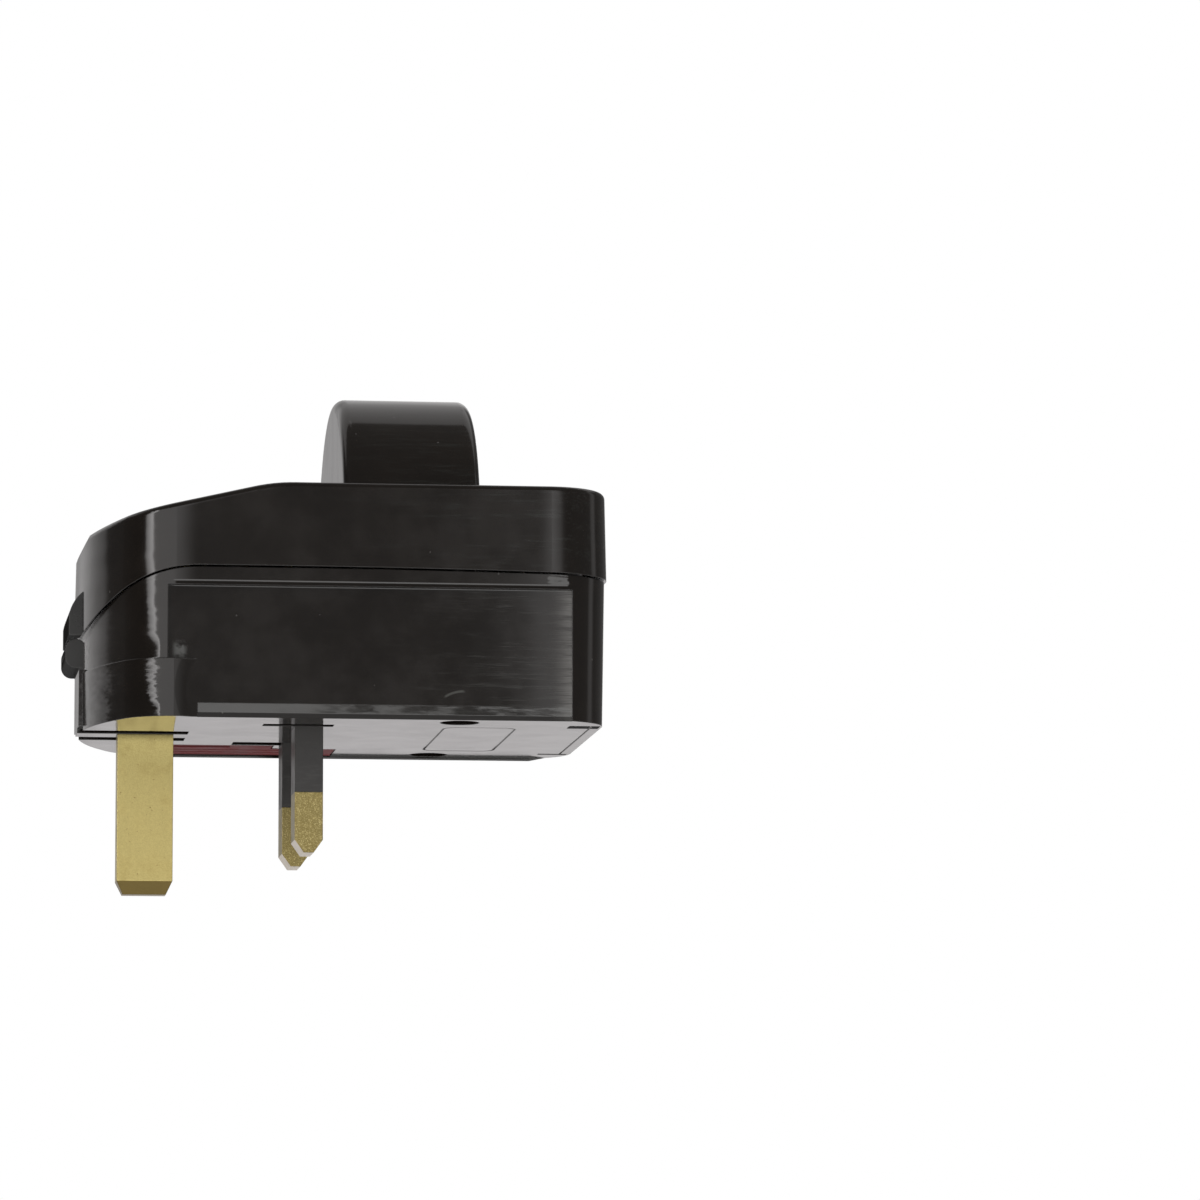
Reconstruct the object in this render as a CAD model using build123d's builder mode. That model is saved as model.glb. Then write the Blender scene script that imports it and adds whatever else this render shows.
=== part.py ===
from build123d import *
import math
import os

os.makedirs("parts", exist_ok=True)

# Fused converter plug: pin face at Z 0, pins down, hinge end at -X, cable end at +X, lid on top.

# Pins, to the standard layout and sections
pin_pitch = 22.23
earth_x = -pin_pitch / 2
live_x = pin_pitch / 2
live_y = pin_pitch / 2
live_thick = 3.97
live_wide = 6.35
live_long = 17.73
live_tip_flat = 1.4
live_tip_high = 1.8
earth_wide = 7.92
earth_thick = 3.97
earth_long = 22.73
earth_tip_high = 1.9
earth_tip_end = 0.9
earth_tip_side = 0.7
sleeve_long = 9.2
sleeve_in = 1.0
sleeve_wall = 0.45

# Body outline at the pin face, draft and walls
base_left = -20.4
left_bow = 46.0
base_right = 52.1
fuse_off = 7.785
fuse_side = 6.7
left_round = 7.5
right_round = 8.0
base_draft = 0.0167
wall = 1.9
floor = 3.0

# Parting line between base and lid
part_z = 20.9
bend_x = -4.9
bend_r = 19.4
droop_x = 9.0
droop_r = 1700.0
part_gap = 0.22

# Lid outside
lid_over = 0.65
lid_draft = 0.02
lid_top = 33.05
slope_x = 5.3
nose_x = -19.5
nose_z = 27.35
bevel_x = -20.9
bevel_z = 24.9
blend_r = 25.0
lid_edge = 0.9
roof = 2.0
hump_x0 = 15.3
hump_x1 = 34.6
hump_z = 26.05
hump_r = 22.5
hump_edge = 1.67
hump_wall = 1.8

# Side panels, band and end strip of the base
panel_in = 0.55
panel_left = -9.5
panel_right = 47.0
panel_top = 18.4
band_right = -6.5
band_top = 8.1
band_out = 0.2
ramp = 2.2
scoop_x = 1.1
scoop_z = 3.6
scoop_r = 8.0
foot_left = -5.3
foot_high = 2.0
foot_in = 0.26
strip_out = 0.42
strip_half = 6.2

# Underside marks
channel_right = -5.2
channel_deep = 0.7
channel_rib = 2.3
end_slot_long = 4.2
end_slot_wide = 1.2
end_slot_deep = 1.5
end_slot_x = 49.5
end_slot_y = 18.5
groove_x = 50.55
groove_wide = 0.3
groove_deep = 0.25
mark_far_x = 8.2
mark_far_y = 8.8
mark_far_long = 12.4
mark_far_wide = 3.8
mark_near_x = 9.45
mark_near_y = 15.8
mark_near_long = 9.9
mark_near_wide = 2.8
label_x = 35.2
label_long = 10.4
label_wide = 31.0
label_round = 2.0

# Hinge at the earth end
hinge_x = -21.3
hinge_z = 11.5
hinge_pin_r = 0.75
knuckle_r = 1.45
knuckle_clear = 0.2
knuckle_half = 3.1
cheek_gap = 0.3
lug_half = 6.5
lid_lug_half = 9.0
lug_low = 8.8
lug_top = 19.4
lug_swell_x = -21.6
lug_swell_z = 18.1
lug_side_z = 16.0
hinge_blind = 5.7
lid_lug_x = -22.4
running = 0.06

# Inner plug that is laid in: disc and two round pins
plug_z = 24.5
plug_pin_y = 9.5
plug_pin_r = 2.4
disc_r = 18.5
cradle_clear = 0.4
cradle_t = 1.6
cradle_top = 14.5
rib_near_x = 19.5
rib_far_x = 26.0
exit_half = 7.0
exit_low = 15.5
exit_top = 30.5
exit_round = 3.0

# Lid screws
screw_x = 31.6
screw_in = 4.3
screw_r = 1.3
screw_head_r = 2.5
screw_head_t = 2.0
screw_seat = 6.0
screw_tip = 15.6
recess_clear = 0.25
post_r = 3.6
post_top = 10.2
pillar_r = 2.3
pillar_low = 10.6
pillar_hole = 17.0
swing_clear = 0.3

# Fuse and its carrier
fuse_r = 3.175
fuse_long = 25.4
fuse_x = 2.6
cap_long = 6.2
tube_r = 2.9
flange_t = 1.8
flange_end = 2.0
flange_rim = 1.7
flange_in = 7.6
flange_step = 3.6
clip_tab = 6.0
flange_cut = 1.5
flange_step_x = 8.0
slide_gap = 0.2
trough_half = 4.0
trough_wall = 0.7
trough_high = 6.0
trough_end = 6.0
end_wall_t = 1.0
clip_t = 0.6
clip_gap = 0.15
clip_wide = 4.8
clip_low = 3.4
tab_side = 1.9

# Contacts, straps and the block that carries them
strap_t = 0.8
contact_t = 0.7
contact_gap = 0.05
contact_x0 = -5.0
contact_x1 = 10.0
contact_top = 27.6
flange_high = 1.6
boss_x = 2.6
boss_y = 3.0
neutral_boss = 7.5
block_x0 = -3.5
block_x1 = 7.6
block_half = 13.2
block_z0 = 10.0
block_t = 2.5
saddle_t = 2.7
saddle_half = 3.5
saddle_top = 23.0
stud_x = 2.05
stud_y = 6.5
stud_r = 2.6
m3_r = 1.2
m3_clear = 0.05
m3_head_r = 2.0
m3_head_t = 1.5
m3_long = 3.6
rivet_r = 0.9
rivet_head_r = 1.5
rivet_head_t = 0.6
riser_wide = 4.8
riser_gap = 0.3
earth_strap_half = 2.4
earth_step_x = 14.5
earth_end_x = 19.3
spring_t = 0.6
spring_top = 5.7
spring_end = 31.5
earth_rivet_x = 17.4
earth_strap_back = 3.5

# Derived places and levels
fuse_y = live_y + fuse_off
base_half = fuse_y + fuse_side
screw_y = base_half - screw_in
flange_x0 = fuse_x - fuse_long / 2 - flange_end
flange_x1 = fuse_x + fuse_long / 2 + flange_end
flange_y0 = fuse_y - flange_in
flange_y1 = base_half - flange_rim
flange_step_y = fuse_y - flange_step
trough_long = fuse_long - 2 * cap_long - 0.8
end_wall_off = fuse_long / 2 + end_wall_t / 2 + slide_gap
load_tab_y = fuse_y - clip_tab
skirt_low = 8.0
skirt_high = 35.0
skirt_grow = lid_over - lid_draft * (skirt_low - part_z)
base_taper = math.degrees(math.atan(base_draft))
lid_taper = math.degrees(math.atan(lid_draft))
panel_y = base_half - panel_in
recess_r = screw_head_r + recess_clear
pillar_bore = screw_r + swing_clear
fuse_z = flange_t + fuse_r
clip_in = fuse_r + clip_gap
clip_out = clip_in + clip_t
clip_top = fuse_z + clip_out
tab_z = clip_top - clip_t
pin_flange_z = floor + flange_high
contact_in = plug_pin_r + contact_gap
contact_out = contact_in + contact_t
clip_off = (fuse_long - cap_long) / 2 - 0.4
line_clip_x = fuse_x + clip_off
load_clip_x = fuse_x - clip_off
line_riser_x = block_x0 - riser_gap
neutral_riser_x = block_x1 + riser_gap + 0.1
neutral_foot_x0 = min(neutral_riser_x, live_x - boss_x)
neutral_foot_x1 = max(neutral_riser_x + strap_t, live_x + boss_x)
lid_lug_low = hinge_z + knuckle_r + knuckle_clear


def body_plan(level, grow):
    """Body outline at a level, grown outwards by the given amount."""
    half = base_half + grow
    bow = left_bow + grow
    end_x = base_left - grow
    corner_x = end_x + bow - (bow**2 - half**2) ** 0.5
    right_x = base_right + grow
    with BuildSketch(Plane.XY.offset(level)) as plan:
        with BuildLine():
            ThreePointArc((corner_x, half), (end_x, 0), (corner_x, -half))
            Polyline((corner_x, -half), (right_x, -half), (right_x, half), (corner_x, half))
        make_face()
        fillet(plan.vertices().group_by(Axis.X)[0], left_round + grow)
        fillet(plan.vertices().group_by(Axis.X)[-1], right_round + grow)
    return plan.sketch


def side_region(shift, up):
    """Region above or below the parting line in the XZ plane, moved off it by shift."""
    end_x = bend_x - 0.9 * bend_r
    mid_x = bend_x - 0.47 * bend_r
    far = 70.0
    turn = bend_r + shift
    centre_z = part_z - bend_r
    end_z = centre_z + (turn**2 - (end_x - bend_x) ** 2) ** 0.5
    mid_z = centre_z + (turn**2 - (mid_x - bend_x) ** 2) ** 0.5
    flat_z = centre_z + turn
    fall = droop_r + shift
    far_z = part_z - droop_r + (fall**2 - (far - droop_x) ** 2) ** 0.5
    half_x = (far + droop_x) / 2
    half_z = part_z - droop_r + (fall**2 - (half_x - droop_x) ** 2) ** 0.5
    edge = far if up else -far
    with BuildSketch(Plane.XZ) as region:
        with BuildLine():
            ThreePointArc((far, far_z), (half_x, half_z), (droop_x, flat_z))
            Line((droop_x, flat_z), (bend_x, flat_z))
            ThreePointArc((bend_x, flat_z), (mid_x, mid_z), (end_x, end_z))
            Polyline((end_x, end_z), (-40, end_z), (-40, edge), (far, edge), (far, far_z))
        make_face()
    return region.sketch


def above_roof(drop):
    """Region above the lid's top profile, lowered by drop."""
    with BuildSketch(Plane.XZ) as region:
        with BuildLine():
            Polyline(
                (70, lid_top - drop),
                (slope_x, lid_top - drop),
                (nose_x, nose_z - drop),
                (bevel_x, bevel_z - drop),
                (-24, bevel_z - drop - 12),
                (-40, bevel_z - drop - 12),
                (-40, 70),
                (70, 70),
                close=True,
            )
        make_face()
        corner = region.vertices().sort_by_distance((slope_x, lid_top - drop, 0))[0]
        fillet(corner, blend_r)
    return region.sketch


def carrier_plan(level, grow):
    """Outline of the fuse carrier's flange, grown outwards."""
    with BuildSketch(Plane.XY.offset(level)) as plan:
        with BuildLine():
            Polyline(
                (flange_x0 - grow, flange_y0 - grow),
                (flange_step_x + grow, flange_y0 - grow),
                (flange_step_x + grow, flange_step_y - grow),
                (flange_x1 + grow, flange_step_y - grow),
                (flange_x1 + grow, flange_y1 + grow),
                (flange_x0 + flange_cut - 0.4 * grow, flange_y1 + grow),
                (flange_x0 - grow, flange_y1 - flange_cut + 0.4 * grow),
                close=True,
            )
        make_face()
    return plan.sketch


# Band around the lower left end of the base
with BuildPart() as band:
    extrude(body_plan(0, band_out), amount=band_top, taper=-base_taper)
    with BuildSketch(Plane.XY.offset(-1)):
        with Locations(((band_right + 70) / 2, 0)):
            Rectangle(70 - band_right, 80)
    extrude(amount=30, mode=Mode.SUBTRACT)

# Base shell
with BuildPart() as base_shell:
    rim = part_z + 3
    extrude(body_plan(0, 0), amount=rim, taper=-base_taper)
    add(band.part)
    # end strip under the hinge
    with BuildSketch(Plane.XY):
        with Locations((base_left - strip_out + 1, 0)):
            Rectangle(2, 2 * strip_half)
    extrude(amount=lug_low + 0.5)
    # hollow
    extrude(body_plan(floor, -wall), amount=rim - floor, taper=-base_taper, mode=Mode.SUBTRACT)
    # parting line
    extrude(side_region(0, True), amount=40, both=True, mode=Mode.SUBTRACT)
    # recessed side panels, scooped out at the band's end
    for side in (1, -1):
        with BuildSketch(Plane.XZ.offset(side * panel_y)):
            with BuildLine():
                Polyline(
                    (panel_right, -1),
                    (panel_right, panel_top),
                    (panel_left, panel_top),
                    (panel_left, band_top),
                    (scoop_x - 0.8 * scoop_r, band_top),
                    (scoop_x - 0.8 * scoop_r, -1),
                    close=True,
                )
            make_face()
        extrude(amount=side * 3, mode=Mode.SUBTRACT)
        with Locations(Location((scoop_x, -side * panel_y, scoop_z), (side * 90, 0, 0))):
            Cone(
                scoop_r, scoop_r + ramp, ramp / 2,
                align=(Align.CENTER, Align.CENTER, Align.MIN), mode=Mode.SUBTRACT,
            )
        # foot of the panel, turned in a little
        with BuildSketch(Plane.YZ.offset(foot_left)):
            with BuildLine():
                Polyline(
                    (-side * panel_y, foot_high),
                    (-side * (panel_y - foot_in), 0),
                    (-side * (panel_y + 1), 0),
                    close=True,
                )
            make_face()
        extrude(amount=panel_right - foot_left, mode=Mode.SUBTRACT)
    # cradle ribs for the disc of the inner plug
    rib_half = base_half - wall + 0.3
    for rib_x in (rib_near_x, rib_far_x):
        with BuildSketch(Plane.YZ.offset(rib_x)):
            with BuildLine():
                Polyline(
                    (-rib_half, floor),
                    (rib_half, floor),
                    (rib_half, cradle_top),
                    (-rib_half, cradle_top),
                    close=True,
                )
            make_face()
            with Locations((0, plug_z)):
                Circle(disc_r + cradle_clear, mode=Mode.SUBTRACT)
            with Locations((0, floor + 1.75)):
                Rectangle(2 * earth_strap_half + 1.6, 3.5, mode=Mode.SUBTRACT)
        extrude(amount=cradle_t)
    # screw posts
    with BuildSketch(Plane.XY.offset(floor)):
        with Locations((screw_x, screw_y), (screw_x, -screw_y)):
            Circle(post_r)
    extrude(amount=post_top - floor)
    with BuildSketch(Plane.XY):
        with Locations((screw_x, screw_y), (screw_x, -screw_y)):
            Circle(recess_r)
    extrude(amount=screw_seat, mode=Mode.SUBTRACT)
    with BuildSketch(Plane.XY):
        with Locations((screw_x, screw_y), (screw_x, -screw_y)):
            Circle(screw_r + 0.1)
    extrude(amount=post_top + 1, mode=Mode.SUBTRACT)
    # room for the lid's pillars to swing out
    with BuildSketch(Plane.XY.offset(post_top)):
        with Locations((screw_x - swing_clear, screw_y), (screw_x - swing_clear, -screw_y)):
            Rectangle(2 * pillar_r + 2, 2 * (pillar_r + swing_clear) + 0.2)
    extrude(amount=20, mode=Mode.SUBTRACT)
    # studs for the contact block and the post under the load clip
    with BuildSketch(Plane.XY.offset(floor)):
        with Locations((stud_x, stud_y), (stud_x, -stud_y)):
            Circle(stud_r)
    extrude(amount=block_z0 - floor)
    with BuildSketch(Plane.XY.offset(block_z0)):
        with Locations((stud_x, stud_y), (stud_x, -stud_y)):
            Circle(m3_r + m3_clear)
    extrude(amount=-m3_long - 1, mode=Mode.SUBTRACT)
    with BuildSketch(Plane.XY.offset(floor)):
        with Locations((load_clip_x, load_tab_y)):
            Rectangle(3.6, 2.6)
    extrude(amount=tab_z - floor)
    # pin holes
    with BuildSketch(Plane.XY.offset(-1)):
        with Locations((live_x, live_y), (live_x, -live_y)):
            Rectangle(live_thick, live_wide)
        with Locations((earth_x, 0)):
            Rectangle(earth_wide, earth_thick)
    extrude(amount=floor + 1, mode=Mode.SUBTRACT)
    # fuse carrier opening with its ledge
    extrude(carrier_plan(-1, slide_gap), amount=1 + flange_t, mode=Mode.SUBTRACT)
    with BuildSketch(Plane.XY):
        with Locations((fuse_x, fuse_y)):
            Rectangle(trough_long + 2 * swing_clear, 2 * (trough_half + swing_clear))
            Rectangle(fuse_long + 2 * swing_clear, 2 * (fuse_r + swing_clear))
            Rectangle(2 * end_wall_off + end_wall_t + 2 * swing_clear, trough_end + 2 * swing_clear)
    extrude(amount=floor, mode=Mode.SUBTRACT)
    # cable exit
    with BuildSketch(Plane.YZ.offset(base_right - 4)) as base_exit:
        with Locations((0, exit_low + 10)):
            Rectangle(2 * exit_half, 20)
        fillet(base_exit.vertices().group_by(Axis.Z)[0], exit_round)
    extrude(amount=8, mode=Mode.SUBTRACT)
    # underside marks
    with BuildSketch(Plane.XY):
        with Locations(((channel_right + base_left - 4) / 2, 0)):
            Rectangle(channel_right - base_left + 4, 2 * strip_half)
            Rectangle(channel_right - base_left + 4, 2 * channel_rib, mode=Mode.SUBTRACT)
    extrude(amount=channel_deep, mode=Mode.SUBTRACT)
    with BuildSketch(Plane.XY):
        with Locations((mark_far_x, mark_far_y)):
            Rectangle(mark_far_long, mark_far_wide)
        with Locations((mark_near_x, -mark_near_y)):
            Rectangle(mark_near_long, mark_near_wide)
    extrude(amount=channel_deep, mode=Mode.SUBTRACT)
    with BuildSketch(Plane.XY):
        with Locations((end_slot_x, end_slot_y), (end_slot_x, -end_slot_y)):
            Rectangle(end_slot_long, end_slot_wide)
    extrude(amount=end_slot_deep, mode=Mode.SUBTRACT)
    with BuildSketch(Plane.XY):
        with Locations((groove_x, 0)):
            Rectangle(groove_wide, 2 * end_slot_y)
        with Locations((label_x, 0)):
            RectangleRounded(label_long, label_wide, label_round)
            RectangleRounded(
                label_long - 2 * groove_wide, label_wide - 2 * groove_wide, label_round - groove_wide,
                mode=Mode.SUBTRACT,
            )
    extrude(amount=groove_deep, mode=Mode.SUBTRACT)
    # hinge lug, cheeks and the room for the lid's knuckle
    lug_x = hinge_x - knuckle_r
    lug_in = base_left + 0.8
    with BuildSketch(Plane.XZ) as lug_side:
        with BuildLine():
            Line((lug_in, lug_low), (lug_x + 1.5, lug_low))
            ThreePointArc((lug_x + 1.5, lug_low), (lug_x + 0.44, lug_low + 0.44), (lug_x, lug_low + 1.5))
            Polyline((lug_x, lug_low + 1.5), (lug_x, hinge_z), (lug_in, hinge_z), (lug_in, lug_low))
        make_face()
    extrude(amount=lug_half, both=True)
    with BuildSketch(Plane.XZ):
        with Locations((hinge_x, hinge_z)):
            Circle(knuckle_r)
    extrude(amount=lug_half, both=True)
    with BuildSketch(Plane.XZ):
        with Locations((hinge_x, hinge_z)):
            Circle(knuckle_r + knuckle_clear)
    extrude(amount=knuckle_half + cheek_gap, both=True, mode=Mode.SUBTRACT)
    with BuildSketch(Plane.XZ.offset(hinge_blind)):
        with Locations((hinge_x, hinge_z)):
            Circle(hinge_pin_r)
    extrude(amount=-hinge_blind - lug_half - 1, mode=Mode.SUBTRACT)
base_shell.part.label = "base_shell"
export_step(base_shell.part, "parts/base_shell.step")

# Hollow of the lid
with BuildPart() as lid_core:
    extrude(body_plan(skirt_low, skirt_grow - wall), amount=skirt_high - skirt_low, taper=lid_taper)
    extrude(above_roof(roof), amount=40, both=True, mode=Mode.SUBTRACT)

# Lid with the hump
with BuildPart() as lid:
    extrude(body_plan(skirt_low, skirt_grow), amount=skirt_high - skirt_low, taper=lid_taper)
    extrude(above_roof(0), amount=40, both=True, mode=Mode.SUBTRACT)
    rim_edges = lid.edges().filter_by(
        lambda e: e.center().Z > bevel_z
        and e.bounding_box().size.Z < 8
        and (abs(e.center().Y) > 10 or e.center().X > 50)
    )
    fillet(rim_edges, lid_edge)
    # hump
    with BuildSketch(Plane.YZ.offset(hump_x0)):
        with Locations((0, hump_z)):
            Circle(hump_r)
    hump_solid = extrude(amount=hump_x1 - hump_x0, mode=Mode.PRIVATE)
    hump_solid = hump_solid.fillet(hump_edge, hump_solid.edges().filter_by(GeomType.CIRCLE))
    keep_top = Pos((hump_x0 + hump_x1) / 2, 0, lid_top - 1 + 20) * Box(60, 80, 40, mode=Mode.PRIVATE)
    add(hump_solid.intersect(keep_top))
    add(lid_core.part, mode=Mode.SUBTRACT)
    with BuildSketch(Plane.YZ.offset(hump_x0 + hump_wall)):
        with Locations((0, hump_z)):
            Circle(hump_r - hump_wall)
    extrude(amount=hump_x1 - hump_x0 - 2 * hump_wall, mode=Mode.SUBTRACT)
    # screw pillars
    with BuildSketch(Plane.XY.offset(pillar_low)):
        with Locations((screw_x, screw_y), (screw_x, -screw_y)):
            Circle(pillar_r)
    extrude(amount=lid_top - roof + 0.5 - pillar_low)
    # hinge lug
    with BuildSketch(Plane.XZ):
        with BuildLine():
            Polyline(
                (lid_lug_x, lug_side_z),
                (lid_lug_x, lid_lug_low),
                (base_left, lid_lug_low),
                (base_left, lug_top),
            )
            ThreePointArc((base_left, lug_top), (lug_swell_x, lug_swell_z), (lid_lug_x, lug_side_z))
        make_face()
    extrude(amount=lid_lug_half, both=True)
    # parting line
    cutter = extrude(side_region(part_gap, False), amount=40, both=True, mode=Mode.PRIVATE)
    room = [
        Pos(screw_x, side * screw_y, part_z - 10) * Box(2 * pillar_r, 2 * pillar_r, 40, mode=Mode.PRIVATE)
        for side in (1, -1)
    ]
    add(cutter - room, mode=Mode.SUBTRACT)
    with BuildSketch(Plane.XY.offset(pillar_low)):
        with Locations((screw_x, screw_y), (screw_x, -screw_y)):
            Circle(pillar_bore)
    extrude(amount=pillar_hole - pillar_low, mode=Mode.SUBTRACT)
    # cable exit
    with BuildSketch(Plane.YZ.offset(base_right - 4)) as lid_exit:
        with Locations((0, exit_top - 10)):
            Rectangle(2 * exit_half, 20)
        fillet(lid_exit.vertices().group_by(Axis.Z)[-1], exit_round)
    extrude(amount=8, mode=Mode.SUBTRACT)
    # hinge knuckle on its web
    with BuildSketch(Plane.XZ):
        with Locations((hinge_x, hinge_z)):
            Circle(knuckle_r + knuckle_clear)
    extrude(amount=lug_half + 0.3, both=True, mode=Mode.SUBTRACT)
    with BuildSketch(Plane.XZ):
        with Locations((hinge_x, hinge_z)):
            Circle(knuckle_r)
        with Locations((hinge_x - 0.12, hinge_z + 1.2)):
            Rectangle(1.15, 2.4)
    extrude(amount=knuckle_half, both=True)
    with BuildSketch(Plane.XZ):
        with Locations((hinge_x, hinge_z)):
            Circle(hinge_pin_r + running)
    extrude(amount=lug_half, both=True, mode=Mode.SUBTRACT)
lid.part.label = "lid"
export_step(lid.part, "parts/lid.step")

# Hinge pin, in from the far cheek
with BuildPart() as hinge_pin:
    with BuildSketch(Plane.XZ.offset(hinge_blind)):
        with Locations((hinge_x, hinge_z)):
            Circle(hinge_pin_r)
    extrude(amount=-hinge_blind - lug_half)
hinge_pin.part.label = "hinge_pin"
export_step(hinge_pin.part, "parts/hinge_pin.step")

# Earth pin: blade, flange on the floor, tapped for the strap screw
with BuildPart() as earth_pin:
    with BuildSketch(Plane.XY.offset(-earth_long + earth_tip_high)):
        with Locations((earth_x, 0)):
            Rectangle(earth_wide, earth_thick)
    extrude(amount=earth_long - earth_tip_high + floor)
    with BuildSketch(Plane.XY.offset(-earth_long + earth_tip_high)):
        with Locations((earth_x, 0)):
            Rectangle(earth_wide, earth_thick)
    with BuildSketch(Plane.XY.offset(-earth_long)):
        with Locations((earth_x, 0)):
            Rectangle(earth_wide - 2 * earth_tip_end, earth_thick - 2 * earth_tip_side)
    loft(ruled=True)
    with BuildSketch(Plane.XY.offset(floor)):
        with Locations((earth_x, 0)):
            Rectangle(earth_wide + 2, earth_thick + 3)
    extrude(amount=flange_high)
    with BuildSketch(Plane.XY.offset(pin_flange_z)):
        with Locations((earth_x, 0)):
            Circle(m3_r + m3_clear)
    extrude(amount=-m3_long, mode=Mode.SUBTRACT)
earth_pin.part.label = "earth_pin"
export_step(earth_pin.part, "parts/earth_pin.step")

# Line and neutral pins: bevelled tip, neck for the sleeve, flange and boss
for name, side, top in (("line_pin", 1, tab_z), ("neutral_pin", -1, neutral_boss)):
    with BuildPart() as live_pin:
        half = live_thick / 2
        tip = live_tip_flat / 2
        shoulder = -live_long + live_tip_high
        with BuildSketch(Plane.XZ.offset(-side * live_y)):
            with BuildLine():
                Polyline(
                    (live_x - tip, -live_long),
                    (live_x + tip, -live_long),
                    (live_x + half, shoulder),
                    (live_x + half, floor),
                    (live_x - half, floor),
                    (live_x - half, shoulder),
                    close=True,
                )
            make_face()
        extrude(amount=live_wide / 2, both=True)
        with BuildSketch(Plane.XY.offset(-sleeve_long)):
            with Locations((live_x, side * live_y)):
                Rectangle(live_thick, live_wide)
                Rectangle(live_thick - 2 * sleeve_wall, live_wide - 2 * sleeve_wall, mode=Mode.SUBTRACT)
        extrude(amount=sleeve_long + sleeve_in, mode=Mode.SUBTRACT)
        with BuildSketch(Plane.XY.offset(floor)):
            with Locations((live_x, side * live_y)):
                Rectangle(live_thick + 2.8, live_wide + 0.8)
        extrude(amount=flange_high)
        with BuildSketch(Plane.XY.offset(pin_flange_z)):
            with Locations((live_x, side * live_y)):
                Rectangle(2 * boss_x, 2 * boss_y)
        extrude(amount=top - pin_flange_z)
        with BuildSketch(Plane.XY.offset(top)):
            with Locations((live_x, side * live_y)):
                Circle(m3_r + m3_clear)
        extrude(amount=-m3_long, mode=Mode.SUBTRACT)
    live_pin.part.label = name
    export_step(live_pin.part, "parts/" + name + ".step")

# Insulating sleeves, moulded on the necks
for name, side in (("line_pin_sleeve", 1), ("neutral_pin_sleeve", -1)):
    with BuildPart() as sleeve:
        with BuildSketch(Plane.XY.offset(-sleeve_long)):
            with Locations((live_x, side * live_y)):
                Rectangle(live_thick, live_wide)
                Rectangle(live_thick - 2 * sleeve_wall, live_wide - 2 * sleeve_wall, mode=Mode.SUBTRACT)
        extrude(amount=sleeve_long + sleeve_in)
    sleeve.part.label = name
    export_step(sleeve.part, "parts/" + name + ".step")

# Lid screws with a cross recess
for name, side in (("lid_screw_near", -1), ("lid_screw_far", 1)):
    with BuildPart() as lid_screw:
        with BuildSketch(Plane.XY.offset(screw_seat - screw_head_t)):
            with Locations((screw_x, side * screw_y)):
                Circle(screw_head_r)
        extrude(amount=screw_head_t)
        with BuildSketch(Plane.XY.offset(screw_seat)):
            with Locations((screw_x, side * screw_y)):
                Circle(screw_r)
        extrude(amount=screw_tip - screw_seat)
        with BuildSketch(Plane.XY.offset(screw_seat - screw_head_t)):
            with Locations((screw_x, side * screw_y)):
                Rectangle(3.0, 0.7)
                Rectangle(0.7, 3.0)
        extrude(amount=1.1, mode=Mode.SUBTRACT)
    lid_screw.part.label = name
    export_step(lid_screw.part, "parts/" + name + ".step")

# Contact block: plate with four saddles
with BuildPart() as contact_block:
    with BuildSketch(Plane.XY.offset(block_z0)):
        with Locations(((block_x0 + block_x1) / 2, 0)):
            Rectangle(block_x1 - block_x0, 2 * block_half)
    extrude(amount=block_t)
    for saddle_x in (block_x0, block_x1 - saddle_t):
        for side in (1, -1):
            with BuildSketch(Plane.YZ.offset(saddle_x)):
                with BuildLine():
                    Polyline(
                        (side * (plug_pin_y - saddle_half), block_z0 + block_t),
                        (side * (plug_pin_y + saddle_half), block_z0 + block_t),
                        (side * (plug_pin_y + saddle_half), saddle_top),
                        (side * (plug_pin_y - saddle_half), saddle_top),
                        close=True,
                    )
                make_face()
                with Locations((side * plug_pin_y, plug_z)):
                    Circle(contact_out, mode=Mode.SUBTRACT)
            extrude(amount=saddle_t)
    with BuildSketch(Plane.XY.offset(block_z0)):
        with Locations((stud_x, stud_y), (stud_x, -stud_y)):
            Circle(m3_r + m3_clear)
    extrude(amount=block_t, mode=Mode.SUBTRACT)
contact_block.part.label = "contact_block"
export_step(contact_block.part, "parts/contact_block.step")

# U contacts for the round pins, open to the top
for name, side in (("line_contact", 1), ("neutral_contact", -1)):
    with BuildPart() as contact:
        with BuildSketch(Plane.YZ.offset(contact_x0)):
            with Locations((side * plug_pin_y, plug_z)):
                Circle(contact_out)
            with Locations((side * plug_pin_y, (plug_z + contact_top) / 2)):
                Rectangle(2 * contact_out, contact_top - plug_z)
            with Locations((side * plug_pin_y, plug_z)):
                Circle(contact_in, mode=Mode.SUBTRACT)
            with Locations((side * plug_pin_y, plug_z + 5)):
                Rectangle(2 * contact_in, 10, mode=Mode.SUBTRACT)
        extrude(amount=contact_x1 - contact_x0)
    contact.part.label = name
    export_step(contact.part, "parts/" + name + ".step")

# Neutral strap: foot on the pin's boss, riser to the contact
with BuildPart() as neutral_strap:
    with BuildSketch(Plane.XY.offset(neutral_boss)):
        with Locations(((neutral_foot_x0 + neutral_foot_x1) / 2, -live_y)):
            Rectangle(neutral_foot_x1 - neutral_foot_x0, 2 * boss_y)
        with Locations((live_x, -live_y)):
            Circle(m3_r + m3_clear, mode=Mode.SUBTRACT)
    extrude(amount=strap_t)
    with BuildSketch(Plane.YZ.offset(neutral_riser_x)):
        with Locations((-plug_pin_y, (neutral_boss + plug_z) / 2)):
            Rectangle(riser_wide, plug_z - neutral_boss)
        with Locations((-plug_pin_y, plug_z)):
            Circle(contact_out, mode=Mode.SUBTRACT)
    extrude(amount=strap_t)
neutral_strap.part.label = "neutral_strap"
export_step(neutral_strap.part, "parts/neutral_strap.step")

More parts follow.
